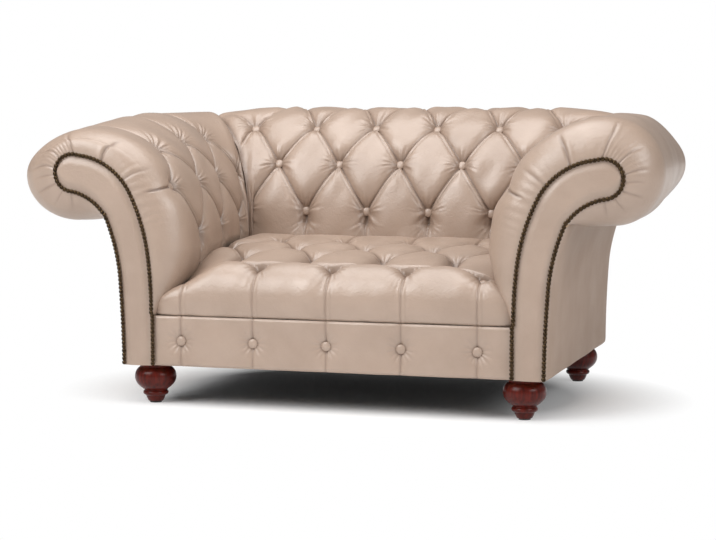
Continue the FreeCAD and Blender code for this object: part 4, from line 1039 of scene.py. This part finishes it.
def spots_on(place, height, places):
    """Where the buttons sit and the way they look."""
    found = []
    for a, b in places:
        base = place(a, b, 0.0)
        way = place(a, b, 0.01) - base
        way = way / np.linalg.norm(way)
        found.append((base + way * (height(a, b) + SIT), way))
    return found


def place_buttons(name, spots):
    places = []
    for spot, way in spots:
        turn = Vector(way).to_track_quat("Z", "Y").to_matrix().to_4x4()
        places.append(Matrix.Translation(Vector(spot)) @ turn)
    row = copies_of(button, name, places)
    values = row.data.attributes.new("fold", "FLOAT", "POINT")
    values.data.foreach_set("value", np.zeros(len(row.data.vertices), np.float32))
    return row


print("shifts of four rows:", [row_offset(k) for k in range(4)])

# %% [markdown]
# The back and the seat have four rows of buttons each. An array modifier could repeat a row, but the
# third row of the back reaches into the corners and the columns of the seat draw together, so the places
# are counted out and those that would be out of reach are left out.

# %% Back and seat buttons
def back_dimple(along, angle):
    return float(back_height(along, angle)[0])


def seat_spot(x, s, lift):
    y, z, ny, nz = (float(v) for v in seat_section(s))
    return np.array([x, y + ny * lift, z + nz * lift - float(seat_drop(x, s))])


def seat_dimple(x, s):
    return float(seat_height(x, s)[0])


back_places = []
for k, angle in enumerate(BACK_ROWS):
    reach = CORNER_X + 0.075 if k == 2 else CORNER_X
    for c in range(-3, 4):
        along = (c + row_offset(k)) * BACK_PITCH
        if abs(along) < reach:
            back_places.append((along, angle))
back_buttons = place_buttons("back_cover_buttons", spots_on(back_place, back_dimple, back_places))

seat_places = []
for k, s in enumerate(ROW_MARKS[2:6]):
    pitch = float(seat_pitch(seat_section(s)[0]))
    for c in range(-2, 3):
        x = (c + row_offset(k + 1)) * pitch + SEAT_SHIFT
        if abs(x) < ARM_INNER:
            seat_places.append((x, s))
seat_buttons = place_buttons("seat_cover_buttons", spots_on(seat_spot, seat_dimple, seat_places))

# %% [markdown]
# The two arms sag unlike, and their buttons have to sag with them. One arm's could be mirrored, but they
# would then float over the other cover, so a function gives the places on either arm. The border has a
# single row.

# %% Arm and border buttons
def arm_place(side, amount):
    """A function that gives places on the sagging cover of one arm."""
    def place(y, angle, lift):
        out, up, n_out, n_up = (float(v) for v in arm_section(angle))
        shift, drop = sag(y, np.interp(angle, ANGLE_MARKS, SIGMA_MARKS), amount)
        return np.array([side * (out + n_out * lift + float(shift)), y, up + n_up * lift + float(drop)])

    return place


def arm_dimple(y, angle):
    return float(arm_height(y, 0.0, np.interp(angle, ANGLE_MARKS, SIGMA_MARKS))[0])


arm_places = []
for k, angle in enumerate(ARM_ROWS):
    for c in range(4):
        y = ARM_FIRST + (c + row_offset(k)) * ARM_PITCH
        if y < CORNER_Y:
            arm_places.append((y, angle))
arm_buttons = []
for name, side in SIDES:
    spots = spots_on(arm_place(side, FRONT_SAG[name]), arm_dimple, arm_places)
    arm_buttons.append(place_buttons(name + "_arm_cover_buttons", spots))

border_spots = []
for c in range(-2, 3):
    x = c * SEAT_PITCH + SEAT_SHIFT
    deep = float(border_height(x, BORDER_MIDDLE)[0])
    border_spots.append(((x, BORDER_Y - deep - SIT / 2, BORDER_MIDDLE), (0, -1, 0)))
border_buttons = place_buttons("front_border_buttons", border_spots)
bpy.data.objects.remove(button)

# %% [markdown]
# The feet are turned on a lathe: collar, full bun, ringed neck and tapering toe. A profile could be spun
# round with the Screw modifier, but a round disc that is extruded down ring by ring, each scaled to its
# radius, needs no merging afterwards. Subdivision then rounds the steps.

# %% One foot
FOOT_SIDES = 72
FOOT_RINGS = (
    (0.0360, 0.1030), (0.0405, 0.1020), (0.0420, 0.0990), (0.0418, 0.0965), (0.0395, 0.0948),
    (0.0400, 0.0935), (0.0450, 0.0900), (0.0502, 0.0840), (0.0532, 0.0760), (0.0540, 0.0680),
    (0.0530, 0.0600), (0.0495, 0.0520), (0.0440, 0.0450), (0.0375, 0.0395), (0.0320, 0.0355),
    (0.0292, 0.0335), (0.0288, 0.0322), (0.0305, 0.0310), (0.0326, 0.0285), (0.0330, 0.0255),
    (0.0318, 0.0225), (0.0288, 0.0200), (0.0256, 0.0188), (0.0248, 0.0180), (0.0244, 0.0150),
    (0.0228, 0.0110), (0.0205, 0.0065), (0.0190, 0.0040), (0.0180, 0.0032),
)
FOOT_SOLE = 0.0030


def lathe_ring(change, growth, z):
    """Extrudes the selected ring down by a change of height and scales it."""
    bpy.ops.mesh.extrude_region()
    bpy.ops.transform.translate(value=(0, 0, change))
    bpy.ops.transform.resize(value=(growth, growth, 1), center_override=(0, 0, z))


def turned_foot():
    bpy.ops.object.select_all(action="DESELECT")
    radius, z = FOOT_RINGS[0]
    bpy.ops.mesh.primitive_circle_add(vertices=FOOT_SIDES, radius=radius, fill_type="TRIFAN",
                                      location=(0, 0, z))
    foot = bpy.context.object
    bpy.ops.object.mode_set(mode="EDIT")
    bpy.ops.mesh.select_all(action="SELECT")
    bpy.ops.mesh.region_to_loop()
    for next_radius, next_z in FOOT_RINGS[1:]:
        lathe_ring(next_z - z, next_radius / radius, next_z)
        radius, z = next_radius, next_z
    lathe_ring(FOOT_SOLE - z, 1, FOOT_SOLE)
    bpy.ops.mesh.merge(type="CENTER")
    bpy.ops.mesh.select_all(action="SELECT")
    bpy.ops.mesh.normals_make_consistent(inside=False)
    bpy.ops.object.mode_set(mode="OBJECT")
    bpy.ops.object.transform_apply(location=True, rotation=False, scale=False)
    rounding = foot.modifiers.new("rounding", "SUBSURF")
    rounding.levels = rounding.render_levels = 1
    bpy.ops.object.modifier_apply(modifier="rounding")
    bpy.ops.object.shade_smooth()
    return foot


foot_pattern = turned_foot()
print("foot:", len(foot_pattern.data.polygons), "faces")

# %% [markdown]
# The settee stands on four such feet, two in front and two behind. They could be turned one by one, but
# real ones are alike, so the pattern is copied to the middle of each plain foot of the frame.

# %% Feet
feet = []
for name in ("front_left", "front_right", "rear_left", "rear_right"):
    low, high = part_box("foot_" + name)
    foot = copy_at(foot_pattern, Matrix.Translation(((low.x + high.x) / 2, (low.y + high.y) / 2, 0)))
    foot.name = "turned_foot_" + name
    foot.data.name = foot.name
    feet.append(foot)
bpy.data.objects.remove(foot_pattern)
print("feet:", [foot.name for foot in feet])

# %% [markdown]
# Leather, wood and metal are all a little uneven: their tone changes slowly, and a fine grain catches the
# light. Each finish could have its own noise, but a node group built once keeps them alike. It puts out a
# slow cloud, a wrinkle and a grain height, and takes its scales in features per metre.

# %% Shared surface noise
def new_node(tree, kind, inputs=None, **settings):
    """Adds a node with its settings and the values of its inputs."""
    made = tree.nodes.new(kind)
    for key, value in settings.items():
        setattr(made, key, value)
    for socket, value in (inputs or {}).items():
        made.inputs[socket].default_value = value
    return made


def wire(start, outlet, end, inlet):
    """Joins an output of one node to an input of another."""
    start.id_data.links.new(start.outputs[outlet], end.inputs[inlet])


def surface_noise_group():
    group = bpy.data.node_groups.new("surface_noise", "ShaderNodeTree")
    for name, default in (("Cloud Scale", 6.0), ("Grain Scale", 700.0)):
        socket = group.interface.new_socket(name, in_out="INPUT", socket_type="NodeSocketFloat")
        socket.default_value = default
    for name in ("Cloud", "Wrinkle", "Height"):
        group.interface.new_socket(name, in_out="OUTPUT", socket_type="NodeSocketFloat")
    entry, leave = new_node(group, "NodeGroupInput"), new_node(group, "NodeGroupOutput")
    where = new_node(group, "ShaderNodeTexCoord")
    cloud = new_node(group, "ShaderNodeTexNoise", {"Detail": 4.0})
    wrinkle = new_node(group, "ShaderNodeTexNoise", {"Scale": 95.0, "Detail": 5.0, "Distortion": 0.9})
    grain = new_node(group, "ShaderNodeTexVoronoi", feature="DISTANCE_TO_EDGE")
    fine = new_node(group, "ShaderNodeTexNoise", {"Detail": 3.0})
    height = new_node(group, "ShaderNodeMath", {1: 0.4}, operation="MULTIPLY_ADD")
    for texture in (cloud, wrinkle, grain, fine):
        wire(where, "Object", texture, "Vector")
    wire(entry, "Cloud Scale", cloud, "Scale")
    wire(entry, "Grain Scale", grain, "Scale")
    wire(entry, "Grain Scale", fine, "Scale")
    wire(fine, "Fac", height, 0)
    wire(grain, "Distance", height, 2)
    wire(cloud, "Fac", leave, "Cloud")
    wire(wrinkle, "Fac", leave, "Wrinkle")
    wire(height, "Value", leave, "Height")
    return group


noise_group = surface_noise_group()
print("noise group:", len(noise_group.nodes), "nodes")

# %% [markdown]
# Every finish here is a Principled shader with this noise as its fine relief. Each could be wired by hand
# in the shader editor, but ten of them would soon differ by accident, so one function builds the common
# part. Two helpers do the rest: one stretches a range of the noise, and one mixes two colours by it.

# %% Finish helpers
def finish(name, rough, metal=0.0, cloud=6.0, grain=700.0, bump=0.1):
    """Material, shader, noise and bump node of a plain finish."""
    material = bpy.data.materials.new(name)
    material.use_nodes = True
    tree = material.node_tree
    tree.nodes.clear()
    output = new_node(tree, "ShaderNodeOutputMaterial")
    shader = new_node(tree, "ShaderNodeBsdfPrincipled", {"Roughness": rough, "Metallic": metal})
    noise = new_node(tree, "ShaderNodeGroup", node_tree=noise_group)
    noise.inputs["Cloud Scale"].default_value = cloud
    noise.inputs["Grain Scale"].default_value = grain
    relief = new_node(tree, "ShaderNodeBump", {"Strength": bump, "Distance": 0.0002})
    wire(noise, "Height", relief, "Height")
    wire(relief, "Normal", shader, "Normal")
    wire(shader, "BSDF", output, "Surface")
    return material, shader, noise, relief


def spread(start, outlet, low, high, out_low=0.0, out_high=1.0):
    """Maps a range of an output to another range."""
    ranged = new_node(start.id_data, "ShaderNodeMapRange", {
        "From Min": low, "From Max": high, "To Min": out_low, "To Max": out_high})
    wire(start, outlet, ranged, "Value")
    return ranged


def two_tone(ranged, first, second):
    """Mixes two colours by a range."""
    mix = new_node(ranged.id_data, "ShaderNodeMix", {"A": (*first, 1), "B": (*second, 1)}, data_type="RGBA")
    wire(ranged, "Result", mix, "Factor")
    return mix


print("materials before the finishes:", len(bpy.data.materials))

# %% [markdown]
# The leather is a blush-beige hide with a soft shine. Along its pleats, round its buttons and in the mitres
# its colour is painted darker and browner, as painted shade. A mask from the curvature of the mesh could
# find the folds, but the covers know them already, so their fold attribute mixes the painted shade into
# the colour. Outside, where the hide is only stretched over board, it is duller.

# %% Leather
HIDE_LIGHT, HIDE_DARK = (0.390, 0.284, 0.219), (0.346, 0.248, 0.188)
# brown of the painted shade in pleats, round buttons and in the mitres
PAINTED_SHADE_BROWN = (0.120, 0.068, 0.044)


def leather_finish(name, gloss, rough, crinkle, mottle):
    material, shader, noise, relief = finish(name, rough, cloud=9.0, grain=850.0, bump=0.25)
    shader.inputs["Specular IOR Level"].default_value = gloss
    tone = two_tone(spread(noise, "Cloud", 0.35, 0.65, 0, mottle), HIDE_LIGHT, HIDE_DARK)
    ruffle = new_node(material.node_tree, "ShaderNodeBump", {"Strength": crinkle, "Distance": 0.004})
    wire(noise, "Wrinkle", ruffle, "Height")
    wire(ruffle, "Normal", relief, "Normal")
    # the fold attribute mixes painted shade into the colour: darker brown along pleats, round buttons and
    # in mitres
    fold = new_node(material.node_tree, "ShaderNodeAttribute", attribute_name="fold")
    painted_fold_shade = two_tone(spread(fold, "Fac", 0, 1, 0, 0.85), HIDE_LIGHT, PAINTED_SHADE_BROWN)
    wire(tone, "Result", painted_fold_shade, "A")
    wire(painted_fold_shade, "Result", shader, "Base Color")
    wire(spread(noise, "Cloud", 0.3, 0.7, rough - 0.05, rough + 0.05), "Result", shader, "Roughness")
    return material


leather = leather_finish("blush_leather", gloss=0.95, rough=0.39, crinkle=0.22, mottle=1.0)
outside_leather = leather_finish("blush_leather_outside", gloss=0.20, rough=0.58, crinkle=0.07, mottle=0.4)
print("leather:", leather.name, "and", outside_leather.name)

# %% [markdown]
# The feet are polished mahogany with streaks of grain up their length. A picture of wood could be wrapped
# round them, but turning cuts through the grain, so a noise that is stretched along Z runs right through
# the foot.

# %% Mahogany
def mahogany_finish():
    material, shader, _, _ = finish("mahogany", 0.30, cloud=30.0, grain=500.0, bump=0.05)
    tree = material.node_tree
    where = new_node(tree, "ShaderNodeTexCoord")
    stretch = new_node(tree, "ShaderNodeMapping", {"Scale": (130, 130, 14)})
    streak = new_node(tree, "ShaderNodeTexNoise", {"Scale": 1.0, "Detail": 5.0})
    wire(where, "Object", stretch, "Vector")
    wire(stretch, "Vector", streak, "Vector")
    wood = two_tone(spread(streak, "Fac", 0.3, 0.7), (0.112, 0.010, 0.005), (0.040, 0.005, 0.003))
    wire(wood, "Result", shader, "Base Color")
    for socket, value in (("Coat Weight", 0.07), ("Coat Roughness", 0.12), ("IOR", 1.30)):
        shader.inputs[socket].default_value = value
    return material


mahogany = mahogany_finish()
print("wood:", mahogany.name)

# %% [markdown]
# The nails are antique brass, dark with brighter worn spots. What lies inside is timber, board, foam,
# steel and cloth. Each could have a finish of its own making, but little of it shows, so one function
# mixes two tones for all of them.

# %% Metal, frame and cloth
def plain_finish(name, first, second, rough, metal=0.0, cloud=40.0, grain=600.0, bump=0.15):
    material, shader, noise, _ = finish(name, rough, metal, cloud, grain, bump)
    wire(two_tone(spread(noise, "Cloud", 0.35, 0.65), first, second), "Result", shader, "Base Color")
    return material


FINISHES = {
    "leather": leather,
    "foot_wood": mahogany,
    "antique_brass": plain_finish("antique_brass", (0.105, 0.066, 0.034), (0.014, 0.010, 0.007), 0.21, 1.0,
                                  cloud=260.0, grain=1500.0, bump=0.2),
    "frame_timber": plain_finish("frame_timber", (0.50, 0.34, 0.19), (0.42, 0.27, 0.14), 0.6, cloud=12.0),
    "former_board": plain_finish("former_board", (0.42, 0.30, 0.18), (0.36, 0.25, 0.14), 0.7, cloud=20.0),
    "foam": plain_finish("foam", (0.80, 0.74, 0.55), (0.74, 0.67, 0.47), 0.9,
                         cloud=30.0, grain=300.0, bump=0.4),
    "zinc_steel": plain_finish("zinc_steel", (0.55, 0.56, 0.57), (0.45, 0.46, 0.48), 0.35, 1.0),
    "lining_cloth": plain_finish("lining_cloth", (0.62, 0.58, 0.50), (0.55, 0.51, 0.43), 0.9,
                                 grain=900.0, bump=0.4),
    "dust_cloth": plain_finish("dust_cloth", (0.022, 0.022, 0.024), (0.014, 0.014, 0.016), 0.95,
                               grain=900.0, bump=0.4),
    "glide": plain_finish("glide", (0.05, 0.05, 0.05), (0.03, 0.03, 0.03), 0.5),
}
for entry in frame["record"]["subparts"]:
    solid = nodes[entry["node"]]
    solid.data.materials.clear()
    solid.data.materials.append(FINISHES[entry["material_slot"]])
print("finishes:", sorted(FINISHES))

# %% [markdown]
# Each dressed piece now rides on the frame and stands for the plain solids under it. The solids could
# stay below, but they would poke through the folds, so each cover says which of them it replaces.

# %% Dress the frame
def done(piece, slot, *replaced, fill=None, material=None):
    piece.data.materials.clear()
    piece.data.materials.append(material or FINISHES[slot])
    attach(piece, "root")
    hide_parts(*replaced)
    print(piece.name, len(piece.data.polygons), "faces")


done(back_cover, "leather", "inside_back_cover", "inside_back_foam", "back_roll_pad", fill=0.8)
for arm, (side, _) in zip(arm_covers, SIDES):
    done(arm, "leather", side + "_inside_arm_cover", side + "_inside_arm_foam", side + "_arm_roll_pad",
         side + "_arm_front_roll", fill=0.8)
done(seat_cover, "leather", "seat_cover", "seat_foam", fill=0.8)
done(border, "leather", "front_border", fill=0.5)
for panel, (side, _) in zip(outside_panels, SIDES):
    done(panel, "leather", side + "_outside_arm_panel", material=outside_leather)
done(back_panel, "leather", "outside_back_panel", material=outside_leather)
for facing, (side, _) in zip(facings, SIDES):
    done(facing, "leather", side + "_arm_facing")
for row, (side, _) in zip(nail_rows, SIDES):
    done(row, "antique_brass", side + "_facing_nails")
done(back_buttons, "leather", "back_buttons")
done(seat_buttons, "leather", "seat_buttons")
done(border_buttons, "leather", "border_buttons")
for row, (side, _) in zip(arm_buttons, SIDES):
    done(row, "leather", side + "_arm_buttons")
for foot in feet:
    done(foot, "foot_wood", foot.name.replace("turned_", ""))

# %% [markdown]
# The settee stands on a white sweep, as in a studio. A curved backdrop could be built, but a flat floor
# that glows white away from the settee shows no horizon either and keeps the shadow underneath. Only rays
# that are seen, straight or in a reflection, get the glow, so that it hardly lights the settee.

# %% Floor
bpy.ops.object.select_all(action="DESELECT")
bpy.ops.mesh.primitive_plane_add(size=60, location=(0, 0, 0))
floor = bpy.context.object
floor.name = "floor"
floor_finish = bpy.data.materials.new("white_floor")
floor_finish.use_nodes = True
tree = floor_finish.node_tree
tree.nodes.clear()
output = new_node(tree, "ShaderNodeOutputMaterial")
matt = new_node(tree, "ShaderNodeBsdfDiffuse", {"Color": (0.93, 0.93, 0.93, 1)})
glow = new_node(tree, "ShaderNodeEmission")
blend = new_node(tree, "ShaderNodeMixShader")
where = new_node(tree, "ShaderNodeTexCoord")
squash = new_node(tree, "ShaderNodeMapping", {"Location": (0, 0.12, 0), "Scale": (1.0, 1.25, 1)})
far = new_node(tree, "ShaderNodeVectorMath", operation="LENGTH")
path = new_node(tree, "ShaderNodeLightPath")
seen = new_node(tree, "ShaderNodeMath", operation="MAXIMUM")
seen_through = new_node(tree, "ShaderNodeMath", operation="MAXIMUM")
white_share = new_node(tree, "ShaderNodeMath", operation="MULTIPLY")
wire(where, "Object", squash, "Vector")
wire(squash, "Vector", far, 0)
wire(path, "Is Camera Ray", seen, 0)
wire(path, "Is Glossy Ray", seen, 1)
wire(seen, "Value", seen_through, 0)
wire(path, "Is Transmission Ray", seen_through, 1)
wire(spread(far, "Value", 0.54, 0.86), "Result", white_share, 0)
wire(seen_through, "Value", white_share, 1)
wire(white_share, "Value", blend, "Fac")
wire(matt, "BSDF", blend, 1)
wire(glow, "Emission", blend, 2)
wire(blend, "Shader", output, "Surface")
floor.data.materials.append(floor_finish)
print("floor:", len(tree.nodes), "nodes")

# %% [markdown]
# The room is white where the camera sees it but gives only a weak light, or it would wash the folds out.
# The shape comes from three soft panels: a broad one overhead, the main one from the upper left in front,
# and a weaker one from the right. Lamps without size would do, but their shadows would be hard.

# %% Light
world = bpy.data.worlds.new("white_room")
bpy.context.scene.world = world
world.use_nodes = True
tree = world.node_tree
tree.nodes.clear()
output = new_node(tree, "ShaderNodeOutputWorld")
room = new_node(tree, "ShaderNodeBackground", {"Color": (1, 1, 1, 1), "Strength": 0.26})
white = new_node(tree, "ShaderNodeBackground", {"Color": (1, 1, 1, 1), "Strength": 1.0})
choose = new_node(tree, "ShaderNodeMixShader")
path = new_node(tree, "ShaderNodeLightPath")
wire(path, "Is Camera Ray", choose, "Fac")
wire(room, "Background", choose, 1)
wire(white, "Background", choose, 2)
wire(choose, "Shader", output, "Surface")


def softbox(name, place, target, size, power):
    lamp = bpy.data.lights.new(name, "AREA")
    lamp.shape = "RECTANGLE"
    lamp.size, lamp.size_y = size
    lamp.energy = power
    holder = bpy.data.objects.new(name, lamp)
    bpy.context.collection.objects.link(holder)
    holder.location = place
    holder.rotation_euler = (Vector(target) - Vector(place)).to_track_quat("-Z", "Y").to_euler()
    print(name, power, "W")


softbox("overhead", (-0.3, -0.4, 3.1), (0, -0.15, 0.4), (3.0, 2.2), 71)
softbox("key_left", (-2.1, -3.0, 3.0), (0, 0, 0.45), (2.6, 2.6), 124)
softbox("fill_right", (3.5, -2.0, 2.4), (0.3, 0, 0.5), (2.0, 2.0), 70)

# %% [markdown]
# The settee is seen from the front and a little from the right, from about the height of its back and
# with a long lens, which keeps its lines nearly parallel. A Track To constraint could aim the camera, but
# here the angles were fitted to known points of the settee, so they are set as they are. The plain
# Standard view shows the colours as they were mixed.

# %% Camera
CAMERA_PITCH, CAMERA_YAW = 5.037, 16.829            # degrees down, and round from the front

lens = bpy.data.cameras.new("camera")
lens.sensor_width = 36
lens.lens = 100.44
lens.shift_x, lens.shift_y = -0.0106, 0.0007
camera = bpy.data.objects.new("camera", lens)
bpy.context.collection.objects.link(camera)
camera.location = (1.5194, -5.1677, 0.7943)
camera.rotation_euler = (math.radians(90 - CAMERA_PITCH), 0, math.radians(CAMERA_YAW))
bpy.context.scene.camera = camera
bpy.context.scene.view_settings.view_transform = "Standard"
print("camera at", tuple(round(v, 2) for v in camera.location))
